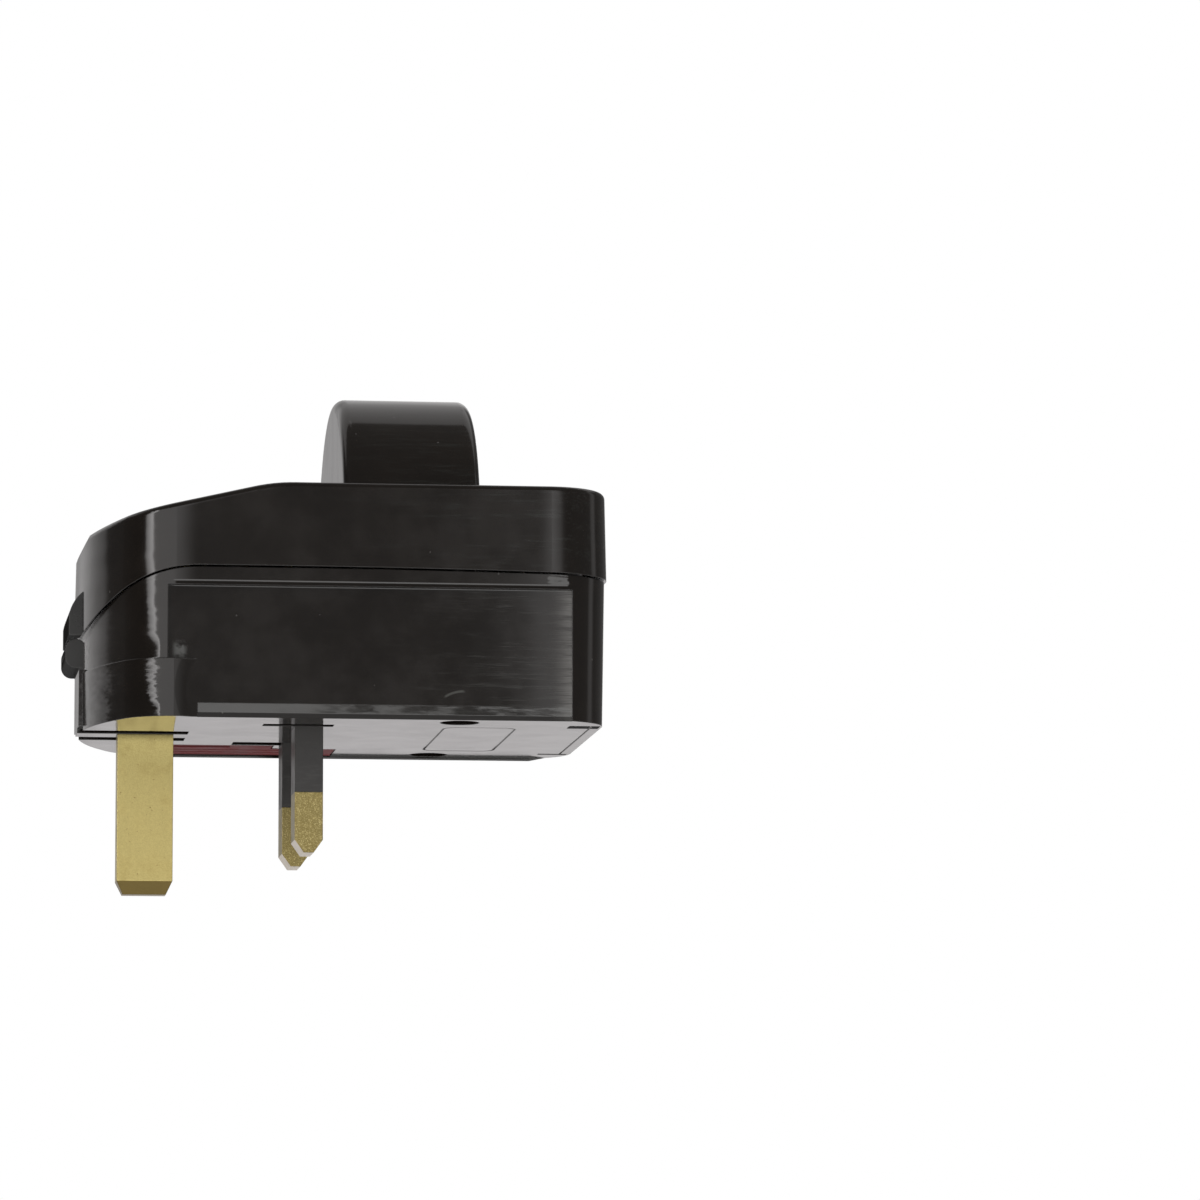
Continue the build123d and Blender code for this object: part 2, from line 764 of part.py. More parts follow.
# Fuse clips: inverted U with a tab towards the middle
clip_tabs = (
    ("line_fuse_clip", line_clip_x, live_x - tab_side, live_y - boss_y + 0.2),
    ("load_fuse_clip", load_clip_x, load_clip_x - clip_wide / 2, load_tab_y - 1.3),
)
for name, clip_x, tab_x0, tab_y in clip_tabs:
    tab_x1 = clip_x + clip_wide / 2
    with BuildPart() as clip:
        with BuildSketch(Plane.YZ.offset(clip_x - clip_wide / 2)):
            with Locations((fuse_y, fuse_z)):
                Circle(clip_out)
            with Locations((fuse_y, (fuse_z + clip_low) / 2)):
                Rectangle(2 * clip_out, fuse_z - clip_low)
            with Locations((fuse_y, fuse_z)):
                Circle(clip_in, mode=Mode.SUBTRACT)
            with Locations((fuse_y, fuse_z - 10)):
                Rectangle(2 * clip_in, 20, mode=Mode.SUBTRACT)
            with Locations((fuse_y, clip_low - 5)):
                Rectangle(20, 10, mode=Mode.SUBTRACT)
        extrude(amount=clip_wide)
        with BuildSketch(Plane.XY.offset(tab_z)):
            with Locations(((tab_x0 + tab_x1) / 2, (fuse_y + tab_y) / 2)):
                Rectangle(tab_x1 - tab_x0, fuse_y - tab_y)
        extrude(amount=clip_t)
        with BuildSketch(Plane.XY.offset(tab_z)):
            if name == "line_fuse_clip":
                with Locations((live_x, live_y)):
                    Circle(m3_r + m3_clear)
            else:
                with Locations((load_clip_x, load_tab_y)):
                    Circle(rivet_r)
        extrude(amount=clip_t, mode=Mode.SUBTRACT)
    clip.part.label = name
    export_step(clip.part, "parts/" + name + ".step")

# Line strap: from the load clip to the line contact
foot_y0 = plug_pin_y - riser_wide / 2
foot_y1 = load_tab_y + 1.5
with BuildPart() as line_strap:
    with BuildSketch(Plane.XY.offset(clip_top)):
        with Locations((load_clip_x, (foot_y0 + foot_y1) / 2)):
            Rectangle(4.4, foot_y1 - foot_y0)
        with Locations(((load_clip_x + line_riser_x) / 2, plug_pin_y)):
            Rectangle(line_riser_x - load_clip_x, riser_wide)
        with Locations((load_clip_x, load_tab_y)):
            Circle(rivet_r, mode=Mode.SUBTRACT)
    extrude(amount=strap_t)
    with BuildSketch(Plane.YZ.offset(line_riser_x)):
        with Locations((plug_pin_y, (clip_top + plug_z) / 2)):
            Rectangle(riser_wide, plug_z - clip_top)
        with Locations((plug_pin_y, plug_z)):
            Circle(contact_out, mode=Mode.SUBTRACT)
    extrude(amount=-strap_t)
line_strap.part.label = "line_strap"
export_step(line_strap.part, "parts/line_strap.step")

with BuildPart() as strap_rivet:
    with BuildSketch(Plane.XY.offset(tab_z)):
        with Locations((load_clip_x, load_tab_y)):
            Circle(rivet_r)
    extrude(amount=clip_t + strap_t)
    with BuildSketch(Plane.XY.offset(clip_top + strap_t)):
        with Locations((load_clip_x, load_tab_y)):
            Circle(rivet_head_r)
    extrude(amount=rivet_head_t)
strap_rivet.part.label = "strap_rivet"
export_step(strap_rivet.part, "parts/strap_rivet.step")

# Earth strap: from the earth pin along the floor
with BuildPart() as earth_strap:
    with BuildSketch(Plane.XZ):
        with BuildLine():
            Polyline(
                (earth_x - earth_strap_back, pin_flange_z),
                (earth_step_x, pin_flange_z),
                (earth_step_x, floor),
                (earth_end_x, floor),
                (earth_end_x, floor + strap_t),
                (earth_step_x + strap_t, floor + strap_t),
                (earth_step_x + strap_t, pin_flange_z + strap_t),
                (earth_x - earth_strap_back, pin_flange_z + strap_t),
                close=True,
            )
        make_face()
    extrude(amount=earth_strap_half, both=True)
    with BuildSketch(Plane.XY.offset(floor)):
        with Locations((earth_x, 0)):
            Circle(m3_r + m3_clear)
        with Locations((earth_rivet_x, 0)):
            Circle(rivet_r)
    extrude(amount=4, mode=Mode.SUBTRACT)
earth_strap.part.label = "earth_strap"
export_step(earth_strap.part, "parts/earth_strap.step")

# Earth spring: foot on the strap, arched leaf under the disc
with BuildPart() as earth_spring:
    foot_z = floor + strap_t
    foot_top = foot_z + spring_t
    foot_x = earth_rivet_x - 1.2
    arch_x = (earth_end_x + spring_end) / 2
    with BuildSketch(Plane.XZ):
        with BuildLine():
            Line((foot_x, foot_z), (earth_end_x, foot_z))
            ThreePointArc((earth_end_x, foot_z), (arch_x, spring_top - spring_t), (spring_end, floor))
            Line((spring_end, floor), (spring_end, floor + spring_t))
            ThreePointArc((spring_end, floor + spring_t), (arch_x, spring_top), (earth_end_x, foot_top))
            Polyline((earth_end_x, foot_top), (foot_x, foot_top), (foot_x, foot_z))
        make_face()
    extrude(amount=earth_strap_half, both=True)
    with BuildSketch(Plane.XY.offset(foot_z)):
        with Locations((earth_rivet_x, 0)):
            Circle(rivet_r)
    extrude(amount=spring_t, mode=Mode.SUBTRACT)
earth_spring.part.label = "earth_spring"
export_step(earth_spring.part, "parts/earth_spring.step")

with BuildPart() as earth_rivet:
    with BuildSketch(Plane.XY.offset(floor)):
        with Locations((earth_rivet_x, 0)):
            Circle(rivet_r)
    extrude(amount=strap_t + spring_t)
    with BuildSketch(Plane.XY.offset(floor + strap_t + spring_t)):
        with Locations((earth_rivet_x, 0)):
            Circle(rivet_head_r)
    extrude(amount=rivet_head_t)
earth_rivet.part.label = "earth_rivet"
export_step(earth_rivet.part, "parts/earth_rivet.step")

# Pin screws and block screws, cheese head with a slot
cheese_screws = (
    ("earth_pin_screw", earth_x, 0, pin_flange_z + strap_t),
    ("line_pin_screw", live_x, live_y, clip_top),
    ("neutral_pin_screw", live_x, -live_y, neutral_boss + strap_t),
    ("block_screw_near", stud_x, -stud_y, block_z0 + block_t),
    ("block_screw_far", stud_x, stud_y, block_z0 + block_t),
)
for name, at_x, at_y, seat in cheese_screws:
    with BuildPart() as cheese:
        with BuildSketch(Plane.XY.offset(seat)):
            with Locations((at_x, at_y)):
                Circle(m3_head_r)
        extrude(amount=m3_head_t)
        with BuildSketch(Plane.XY.offset(seat)):
            with Locations((at_x, at_y)):
                Circle(m3_r)
        extrude(amount=-m3_long)
        with BuildSketch(Plane.XY.offset(seat + m3_head_t)):
            with Locations((at_x, at_y)):
                Rectangle(2 * m3_head_r, 0.7)
        extrude(amount=-0.7, mode=Mode.SUBTRACT)
    cheese.part.label = name
    export_step(cheese.part, "parts/" + name + ".step")

# Fuse: ceramic tube with two caps
with BuildPart() as fuse_tube:
    with BuildSketch(Plane.YZ.offset(fuse_x - fuse_long / 2 + 0.4)):
        with Locations((fuse_y, fuse_z)):
            Circle(tube_r)
    extrude(amount=fuse_long - 0.8)
fuse_tube.part.label = "fuse_tube"
export_step(fuse_tube.part, "parts/fuse_tube.step")

for name, side in (("fuse_cap_line", 1), ("fuse_cap_load", -1)):
    with BuildPart() as cap:
        with BuildSketch(Plane.YZ.offset(fuse_x + side * fuse_long / 2)):
            with Locations((fuse_y, fuse_z)):
                Circle(fuse_r)
        extrude(amount=-side * cap_long)
        with BuildSketch(Plane.YZ.offset(fuse_x + side * (fuse_long / 2 - 0.4))):
            with Locations((fuse_y, fuse_z)):
                Circle(tube_r)
        extrude(amount=-side * cap_long, mode=Mode.SUBTRACT)
    cap.part.label = name
    export_step(cap.part, "parts/" + name + ".step")

# Fuse carrier: flange flush with the underside, walls that hold the fuse
with BuildPart() as fuse_carrier:
    extrude(carrier_plan(0, 0), amount=flange_t)
    wall_mid = trough_half - trough_wall / 2
    with BuildSketch(Plane.XY.offset(flange_t)):
        with Locations((fuse_x, fuse_y + wall_mid), (fuse_x, fuse_y - wall_mid)):
            Rectangle(trough_long, trough_wall)
        with Locations((fuse_x - end_wall_off, fuse_y), (fuse_x + end_wall_off, fuse_y)):
            Rectangle(end_wall_t, trough_end)
    extrude(amount=trough_high - flange_t)
    with BuildSketch(Plane.XY):
        with Locations((fuse_x, fuse_y - 1.6), (fuse_x, fuse_y + 1.4)):
            Rectangle(22.0, 0.6)
        with Locations((flange_step_x - 10.5, flange_y0 + 1.9)):
            Rectangle(9.0, 1.6)
    extrude(amount=0.5, mode=Mode.SUBTRACT)
fuse_carrier.part.label = "fuse_carrier"
export_step(fuse_carrier.part, "parts/fuse_carrier.step")
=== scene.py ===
import logging
import math
from dataclasses import dataclass
from enum import Enum

import bpy
from mathutils import Matrix, Vector


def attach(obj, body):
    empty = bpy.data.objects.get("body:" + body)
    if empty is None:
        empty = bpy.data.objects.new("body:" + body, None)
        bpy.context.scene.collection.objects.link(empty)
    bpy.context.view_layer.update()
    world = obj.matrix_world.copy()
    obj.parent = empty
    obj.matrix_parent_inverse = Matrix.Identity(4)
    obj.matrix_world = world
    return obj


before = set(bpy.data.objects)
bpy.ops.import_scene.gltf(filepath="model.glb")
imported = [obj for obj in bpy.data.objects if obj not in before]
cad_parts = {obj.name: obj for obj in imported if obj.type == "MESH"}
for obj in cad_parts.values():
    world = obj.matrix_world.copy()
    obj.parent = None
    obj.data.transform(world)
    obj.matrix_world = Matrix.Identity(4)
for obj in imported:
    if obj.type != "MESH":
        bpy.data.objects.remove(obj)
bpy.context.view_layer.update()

LOG = logging.getLogger("plug_adapter")
MM = 0.001
NOWHERE = 100.0 * MM  # past every piece, so that a level set here never shows
BEVEL_SAMPLES = 6
MIX_A, MIX_B, MIX_RESULT = 6, 7, 2  # the colour sockets of a Mix node

Pair = tuple[float, float]
Triple = tuple[float, float, float]
Colour = Triple
Node = bpy.types.Node
Tree = bpy.types.NodeTree
Material = bpy.types.Material
Socket = bpy.types.NodeSocket
Sockets = bpy.types.bpy_prop_collection
Value = Socket | float | tuple[float, ...]

TO_HINGE: Triple = (-1.0, 0.0, 0.0)
TO_CABLE: Triple = (1.0, 0.0, 0.0)
TO_FRONT: Triple = (0.0, -1.0, 0.0)
UP: Triple = (0.0, 0.0, 1.0)
DOWN: Triple = (0.0, 0.0, -1.0)
HOUSING_BLACK: Colour = (0.0065, 0.0046, 0.0032)


class Effect(Enum):
    """Surface effects that several finishes share, each one shader node group."""

    GRAIN = "moulded_grain"
    EDGE = "edge_wear"
    LINES = "drawn_lines"
    SPECKS = "dust_specks"
    STAIN = "stain_patches"


class Graph:
    """Adds and joins nodes in one node tree."""

    def __init__(self, tree: Tree) -> None:
        """Keeps the tree that the nodes go into."""
        self.tree = tree

    def put(self, target: Socket, value: Value) -> None:
        """Links a socket to the target, or sets a plain value on it."""
        if isinstance(value, Socket):
            self.tree.links.new(value, target)
        else:
            target.default_value = value

    def fill(self, node: Node, **inputs: Value) -> None:
        """Feeds a node's inputs by name, with _ for a space."""
        for name, value in inputs.items():
            self.put(node.inputs[name.replace("_", " ")], value)

    def add(self, kind: str, **inputs: Value) -> Node:
        """Adds a node and feeds its inputs.

        Args:
            kind: Blender's type name of the node.
            inputs: Values or sockets by input name, with _ for a space.

        Returns:
            The new node.
        """
        node = self.tree.nodes.new(kind)
        self.fill(node, **inputs)
        return node

    def close(self, shader: Node, kind: str = "ShaderNodeOutputMaterial") -> None:
        """Adds the tree's output node and feeds the shader into it."""
        self.add(kind, Surface=shader.outputs[0])

    def calc(self, op: str, a: Value, b: Value = 0.0, clamp: bool = False) -> Socket:
        """A math node.

        Args:
            op: Name of the operation.
            a: First value or socket.
            b: Second value or socket.
            clamp: Whether the result is kept between 0 and 1.

        Returns:
            The result's socket.
        """
        node = self.add("ShaderNodeMath")
        node.operation = op
        node.use_clamp = clamp
        self.put(node.inputs[0], a)
        self.put(node.inputs[1], b)
        return node.outputs[0]

    def chain(self, op: str, *values: Value) -> Value:
        """Values joined in order by one operation."""
        result = values[0]
        for value in values[1:]:
            result = self.calc(op, result, value)
        return result

    def product(self, *values: Value) -> Value:
        """All the values multiplied."""
        return self.chain("MULTIPLY", *values)

    def total(self, *values: Value) -> Value:
        """All the values added."""
        return self.chain("ADD", *values)

    def centred(self, height: Socket) -> Socket:
        """A height from 0 to 1, as one from -0.5 to 0.5."""
        return self.calc("SUBTRACT", height, 0.5)

    def layer(self, under: Value, over: Value, *shares: Value) -> Socket:
        """Lays a colour over another.

        Args:
            under: The colour so far, or its socket.
            over: The colour that is laid over it, or its socket.
            shares: How much of it, from 0 to 1; several are multiplied.

        Returns:
            The mixed colour's socket.
        """
        node = self.add("ShaderNodeMix")
        node.data_type = "RGBA"
        self.put(node.inputs[0], self.product(*shares))
        for index, colour in ((MIX_A, under), (MIX_B, over)):
            self.put(node.inputs[index], (*colour, 1.0) if isinstance(colour, tuple) else colour)
        return node.outputs[MIX_RESULT]

    def layers(self, under: Value, *coats: tuple[Value, ...]) -> Value:
        """Lays colours over each other in order, each given with its shares."""
        for over, *shares in coats:
            under = self.layer(under, over, *shares)
        return under

    def span(
        self, value: Value, low: Value, high: Value, out_low: float = 0.0, out_high: float = 1.0
    ) -> Socket:
        """Maps a value's span smoothly to another one and holds it at the ends.

        Args:
            value: The socket that is mapped.
            low: Value that gives out_low.
            high: Value that gives out_high.
            out_low: Result at the low end.
            out_high: Result at the high end.

        Returns:
            The mapped value's socket.
        """
        node = self.add("ShaderNodeMapRange")
        node.interpolation_type = "SMOOTHSTEP"
        for index, entry in enumerate((value, low, high, out_low, out_high)):
            self.put(node.inputs[index], entry)
        return node.outputs[0]

    def hill(self, value: Value, start: float, top: float, top_end: float, end: float) -> Socket:
        """Rises smoothly from 0 to 1 over the first two places, and falls to 0 over the last two."""
        return self.product(self.span(value, start, top), self.span(value, end, top_end))

    def within(self, value: Value, low: float, high: float, soft: float) -> Socket:
        """1 where the value lies between low and high, with soft ends, else 0."""
        return self.hill(value, low - soft, low + soft, high - soft, high + soft)

    def noise(self, vector: Value, scale: Value, detail: float = 2.0, rough: float = 0.5) -> Socket:
        """A noise texture's value.

        Args:
            vector: Coordinates.
            scale: Features per metre.
            detail: Octaves.
            rough: Share of the finer octaves.

        Returns:
            The noise value's socket.
        """
        node = self.add("ShaderNodeTexNoise", Vector=vector, Scale=scale, Detail=detail, Roughness=rough)
        return node.outputs["Fac"]

    def place(self, scale: Value = (1.0, 1.0, 1.0), shift: Value = (0.0, 0.0, 0.0)) -> Socket:
        """Object coordinates, stretched along each axis and then shifted by metres."""
        coords = self.add("ShaderNodeTexCoord").outputs["Object"]
        return self.add("ShaderNodeMapping", Vector=coords, Scale=scale, Location=shift).outputs[0]

    def axes(self) -> tuple[Socket, Socket, Socket]:
        """Object coordinates as separate X, Y and Z sockets."""
        coords = self.add("ShaderNodeTexCoord").outputs["Object"]
        return tuple(self.add("ShaderNodeSeparateXYZ", Vector=coords).outputs)

    def bump(self, height: Value, depth: float, normal: Value) -> Socket:
        """A normal with a bump on it, by a height from 0 to 1 and a depth in metres."""
        node = self.add("ShaderNodeBump", Height=height, Distance=depth, Strength=1.0, Normal=normal)
        return node.outputs[0]

    def vector(self, op: str, *values: Value, **inputs: Value) -> Node:
        """A vector math node, fed in order and by name."""
        node = self.add("ShaderNodeVectorMath")
        node.operation = op
        for index, value in enumerate(values):
            self.put(node.inputs[index], value)
        self.fill(node, **inputs)
        return node

    def lean(self, normal: Value, way: Triple, *amounts: Value) -> Socket:
        """Leans a normal towards a direction of the object.

        Args:
            normal: The normal that leans.
            way: The direction, in the object's own axes.
            amounts: Tangent of the angle; several are multiplied.

        Returns:
            The new normal's socket.
        """
        turned = self.add("ShaderNodeVectorTransform")
        turned.vector_type, turned.convert_from, turned.convert_to = "VECTOR", "OBJECT", "WORLD"
        turned.inputs[0].default_value = way
        scaled = self.vector("SCALE", turned.outputs[0], Scale=self.product(*amounts))
        added = self.vector("ADD", normal, scaled.outputs[0])
        return self.vector("NORMALIZE", added.outputs[0]).outputs[0]

    def effect(self, kind: Effect, **inputs: Value) -> Sockets:
        """Places a shared effect.

        Args:
            kind: Which effect.
            inputs: Values or sockets by input name, with _ for a space.

        Returns:
            Its output sockets by name.
        """
        node = self.add("ShaderNodeGroup")
        node.node_tree = EFFECTS.tree(kind)
        self.fill(node, **inputs)
        return node.outputs


class EffectShelf:
    """Builds each shared effect once, as a shader node group."""

    def __init__(self) -> None:
        """Starts with no group built."""
        self.trees: dict[Effect, Tree] = {}

    def tree(self, kind: Effect) -> Tree:
        """The node tree of an effect, built at its first use by the method of its name."""
        if kind not in self.trees:
            self.trees[kind] = getattr(self, kind.name.lower())()
        return self.trees[kind]

    def start(
        self, kind: Effect, inputs: dict[str, Value], outputs: list[str]
    ) -> tuple[Graph, Sockets, Node]:
        """Makes an empty group with its sockets.

        Args:
            kind: The effect that the group is for.
            inputs: Input names with their usual values.
            outputs: Output names, all plain values.

        Returns:
            The graph, the given inputs by name and the output node.
        """
        tree = bpy.data.node_groups.new(kind.value, "ShaderNodeTree")
        for name, value in inputs.items():
            socket_type = "NodeSocketVector" if isinstance(value, tuple) else "NodeSocketFloat"
            socket = tree.interface.new_socket(name=name, in_out="INPUT", socket_type=socket_type)
            socket.default_value = value
        for name in outputs:
            tree.interface.new_socket(name=name, in_out="OUTPUT", socket_type="NodeSocketFloat")
        graph = Graph(tree)
        return graph, graph.add("NodeGroupInput").outputs, graph.add("NodeGroupOutput")

    def grain(self) -> Tree:
        """Fine moulded grain with broad waves: Fine, Wave and Mottle."""
        usual = {"Fine Scale": 4000.0, "Wave Scale": 150.0}
        graph, given, sink = self.start(Effect.GRAIN, usual, ["Fine", "Wave", "Mottle"])
        coords = graph.place()
        broad = graph.noise(coords, graph.product(given["Wave Scale"], 0.7), detail=5.0, rough=0.65)
        graph.fill(
            sink,
            Fine=graph.noise(coords, given["Fine Scale"], detail=3.0, rough=0.6),
            Wave=graph.noise(coords, given["Wave Scale"], detail=1.0, rough=0.4),
            Mottle=graph.span(broad, 0.3, 0.75),
        )
        return graph.tree

    def edge(self) -> Tree:
        """Where edges are rubbed: Mask, broken up by noise."""
        graph, given, sink = self.start(Effect.EDGE, {"Radius": 0.3 * MM, "Break": 900.0}, ["Mask"])
        rounded = graph.add("ShaderNodeBevel", Radius=given["Radius"])
        rounded.samples = BEVEL_SAMPLES
        own_normal = graph.add("ShaderNodeNewGeometry").outputs["Normal"]
        alike = graph.vector("DOT_PRODUCT", rounded.outputs[0], own_normal).outputs["Value"]
        broken = graph.noise(graph.place(), given["Break"], detail=4.0, rough=0.6)
        graph.fill(sink, Mask=graph.product(graph.span(alike, 0.985, 0.86), graph.span(broken, 0.42, 0.62)))
        return graph.tree

    def lines(self) -> Tree:
        """Fine lines along the axis whose Stretch is small: Height and Mask."""
        usual = {"Stretch": (1.0, 1.0, 0.03), "Scale": 5000.0}
        graph, given, sink = self.start(Effect.LINES, usual, ["Height", "Mask"])
        coords = graph.place(scale=given["Stretch"])
        fine = graph.noise(coords, given["Scale"], detail=3.0, rough=0.65)
        broad = graph.noise(coords, graph.product(given["Scale"], 0.23))
        both = graph.total(graph.product(fine, 0.6), graph.product(broad, 0.4))
        graph.fill(sink, Height=both, Mask=graph.span(both, 0.5, 0.68))
        return graph.tree

    def specks(self) -> Tree:
        """A few pale specks of dust: Mask."""
        graph, given, sink = self.start(Effect.SPECKS, {"Scale": 500.0, "Amount": 0.1}, ["Mask"])
        cells = graph.add("ShaderNodeTexVoronoi", Vector=graph.place(), Scale=given["Scale"]).outputs
        lot = graph.add("ShaderNodeSeparateColor", Color=cells["Color"]).outputs[0]
        chosen = graph.calc("LESS_THAN", lot, given["Amount"])
        graph.fill(sink, Mask=graph.product(graph.span(cells["Distance"], 0.09, 0.04), chosen))
        return graph.tree

    def stain(self) -> Tree:
        """Patches of tarnish: Mask, and Spots for small dark ones."""
        graph, given, sink = self.start(Effect.STAIN, {"Scale": 250.0}, ["Mask", "Spots"])
        coords = graph.place(shift=(0.013, 0.027, 0.041))
        patches = graph.noise(coords, given["Scale"], detail=6.0, rough=0.62)
        small = graph.noise(coords, graph.product(given["Scale"], 6.0), detail=3.0, rough=0.6)
        graph.fill(sink, Mask=graph.span(patches, 0.45, 0.72), Spots=graph.span(small, 0.66, 0.76))
        return graph.tree


EFFECTS = EffectShelf()


def blank_material(name: str) -> tuple[Material, Graph]:
    """An empty material and its graph."""
    material = bpy.data.materials.new(name)
    material.use_nodes = True
    material.node_tree.nodes.clear()
    return material, Graph(material.node_tree)


@dataclass(frozen=True)
class Zone:
    """A box of the object with soft sides: low, high and softness in mm on each axis that bounds it."""

    depth: Triple | None = None  # along Y, on either side alike
    x: Triple | None = None
    y: Triple | None = None
    z: Triple | None = None

    def mask(self, graph: Graph) -> Socket:
        """1 inside the box, else 0."""
        x, y, z = graph.axes()
        across = graph.calc("ABSOLUTE", y) if self.depth else y
        sides = ((across, self.depth), (x, self.x), (y, self.y), (z, self.z))
        parts = [graph.within(value, *(part * MM for part in side)) for value, side in sides if side]
        return graph.product(*parts)


@dataclass(frozen=True)
class Finish:
    """What every finish has: a name, a colour, a roughness and how far its edges look rounded."""

    name: str
    colour: Colour
    roughness: float
    edge: float = 0.2 * MM

    def material(self) -> Material:
        """Builds the material."""
        material, graph = blank_material(self.name)
        material.diffuse_color = (*self.colour, 1.0)
        shader = graph.add("ShaderNodeBsdfPrincipled")
        graph.close(shader)
        self.paint(graph, shader)
        return material

    def paint(self, graph: Graph, shader: Node) -> None:
        """Feeds the Principled BSDF; each kind of finish has its own way."""
        raise NotImplementedError

    def lighter(self, factor: float) -> Colour:
        """The colour, lighter by a factor."""
        return tuple(min(1.0, part * factor) for part in self.colour)

    def varied(self, graph: Graph, mask: Value, least: float, most: float) -> Socket:
        """The roughness, from one share of it to another as the mask goes from 0 to 1."""
        return graph.span(mask, 0.0, 1.0, self.roughness * least, self.roughness * most)

    def unmirror(self, graph: Graph, shader: Node, mask: Value) -> None:
        """Leaves the masked part out of the reflections beside it."""
        path = graph.add("ShaderNodeLightPath").outputs
        hidden = graph.product(mask, path["Is Glossy Ray"])
        graph.fill(shader, Alpha=graph.calc("SUBTRACT", 1.0, hidden))

    def soft_edge(self, graph: Graph) -> Socket:
        """A normal that rounds sharp edges."""
        node = graph.add("ShaderNodeBevel", Radius=self.edge)
        node.samples = BEVEL_SAMPLES
        return node.outputs[0]


@dataclass(frozen=True)
class BlackPlastic(Finish):
    """Glossy black moulding with waves, grain, rubbed edges, dust and softly rolled corners.

    A pair of places along an axis says where an effect starts and where it is full. A turn is the
    tangent of the angle by which a normal leans.
    """

    ior: float = 1.48
    wave: float = 0.05 * MM
    grain_depth: float = 0.0005 * MM
    rubbed: Colour = (0.10, 0.095, 0.09)
    speck: Colour = (0.14, 0.135, 0.13)
    lined: Colour = (0.021, 0.0215, 0.019)
    lined_x: Pair = (5.0 * MM, 44.0 * MM)
    dull_x: Pair = (-17.5 * MM, -19.5 * MM)
    end_x: float = -20.4 * MM
    end_radius: float = 46.0 * MM
    end_out: float = 1.07 * MM
    end_lean: float = -0.02
    lug_proud: float = 0.10 * MM
    lug_half: float = 9.2 * MM
    lug_low: float = 8.6 * MM
    lug_tint: Colour = (0.0050, 0.0054, 0.0044)
    lug_rough: float = 0.12
    lug_turn: float = 0.8
    ghost_x: float = -17.2 * MM
    ghost_fade: float = 3.0 * MM
    ghost_share: float = 0.85
    roll_left: Triple = (-13.8 * MM, -9.0 * MM, -4.9 * MM)
    left_turn: float = 0.072
    roll_right: Triple = (41.7 * MM, 45.6 * MM, 50.0 * MM)
    right_turn: float = 0.040
    wobble_x: Pair = (-9.0 * MM, -10.4 * MM)
    wobble_turn: float = 0.16

    def roll(self, graph: Graph, x: Value, places: Triple) -> Socket:
        """A swell along the body: 1 at the middle of three places, 0 at the others."""
        low, middle, high = places
        return graph.hill(x, low, middle, middle, high)

    def bare(self, graph: Graph) -> Value:
        """1 where the sides roll into the left corner, else 0; here all over."""
        return 1.0

    def corners(self, graph: Graph, normal: Value) -> Socket:
        """Rolls the flat sides gently into the upright corners, with a slight wobble at the left one."""
        x, _, _ = graph.axes()
        left = self.roll(graph, x, self.roll_left)
        normal = graph.lean(normal, TO_HINGE, left, self.bare(graph), self.left_turn)
        wobble = graph.centred(graph.noise(graph.place(scale=(0.1, 0.1, 1.0)), 210.0))
        normal = graph.lean(normal, TO_CABLE, wobble, graph.span(x, *self.wobble_x), self.wobble_turn)
        return graph.lean(normal, TO_CABLE, self.roll(graph, x, self.roll_right), self.right_turn)

    def lug(self, graph: Graph) -> Socket:
        """1 on the hinge lug, which stands out from the bowed end, else 0."""
        x, y, z = graph.axes()
        bow = graph.calc("DIVIDE", graph.product(y, y), 2.0 * self.end_radius)
        upright = graph.total(bow, self.end_x - self.end_out)
        skin = graph.calc("SUBTRACT", upright, graph.product(z, self.end_lean))
        out = graph.calc("LESS_THAN", graph.calc("SUBTRACT", x, skin), -self.lug_proud)
        near = graph.calc("LESS_THAN", graph.calc("ABSOLUTE", y), self.lug_half)
        return graph.product(out, near, graph.calc("GREATER_THAN", z, self.lug_low))

    def marks(self, graph: Graph, tint: Value, rough: Value, normal: Value) -> tuple[Value, Value, Value]:
        """Marks of one moulding alone; here faint rubbed lines to the right.

        Args:
            graph: The material's graph.
            tint: Colour so far.
            rough: Roughness so far.
            normal: Normal so far.

        Returns:
            The new colour, roughness and normal.
        """
        x, _, _ = graph.axes()
        rub = graph.effect(Effect.LINES, Stretch=(0.06, 1.0, 1.0), Scale=4200.0)
        wear = graph.span(x, *self.lined_x, 0.1, 0.7)
        return graph.layer(tint, self.lined, rub["Mask"], wear), rough, normal

    def paint(self, graph: Graph, shader: Node) -> None:
        """Feeds the shader. The lug and the lid's end cast no reflections, as none show in the photo."""
        grain = graph.effect(Effect.GRAIN, Fine_Scale=5200.0, Wave_Scale=140.0)
        edge = graph.effect(Effect.EDGE, Radius=0.16 * MM, Break=700.0)
        specks = graph.effect(Effect.SPECKS, Scale=520.0, Amount=0.06)
        x, _, _ = graph.axes()
        lug = self.lug(graph)
        tint = graph.layers(
            self.colour,
            (self.lighter(1.5), grain["Mottle"]),
            (self.rubbed, edge["Mask"], 0.12),
            (self.speck, specks["Mask"], 0.5),
            (self.lug_tint, lug, 0.8),
        )
        dull_end = graph.span(x, *self.dull_x, 0.0, 0.05)
        rough = self.varied(graph, grain["Mottle"], 0.8, 1.3)
        rough = graph.total(rough, dull_end, graph.product(lug, self.lug_rough))
        normal = graph.bump(grain["Wave"], self.wave, self.soft_edge(graph))
        normal = graph.bump(grain["Fine"], self.grain_depth, normal)
        normal = graph.lean(self.corners(graph, normal), TO_FRONT, lug, self.lug_turn)
        tint, rough, normal = self.marks(graph, tint, rough, normal)
        ghost = graph.span(x, self.ghost_x, self.ghost_x - self.ghost_fade, 0.0, self.ghost_share)
        self.unmirror(graph, shader, graph.calc("MAXIMUM", lug, ghost))
        graph.fill(shader, Base_Color=tint, Roughness=rough, Normal=normal, IOR=self.ior)


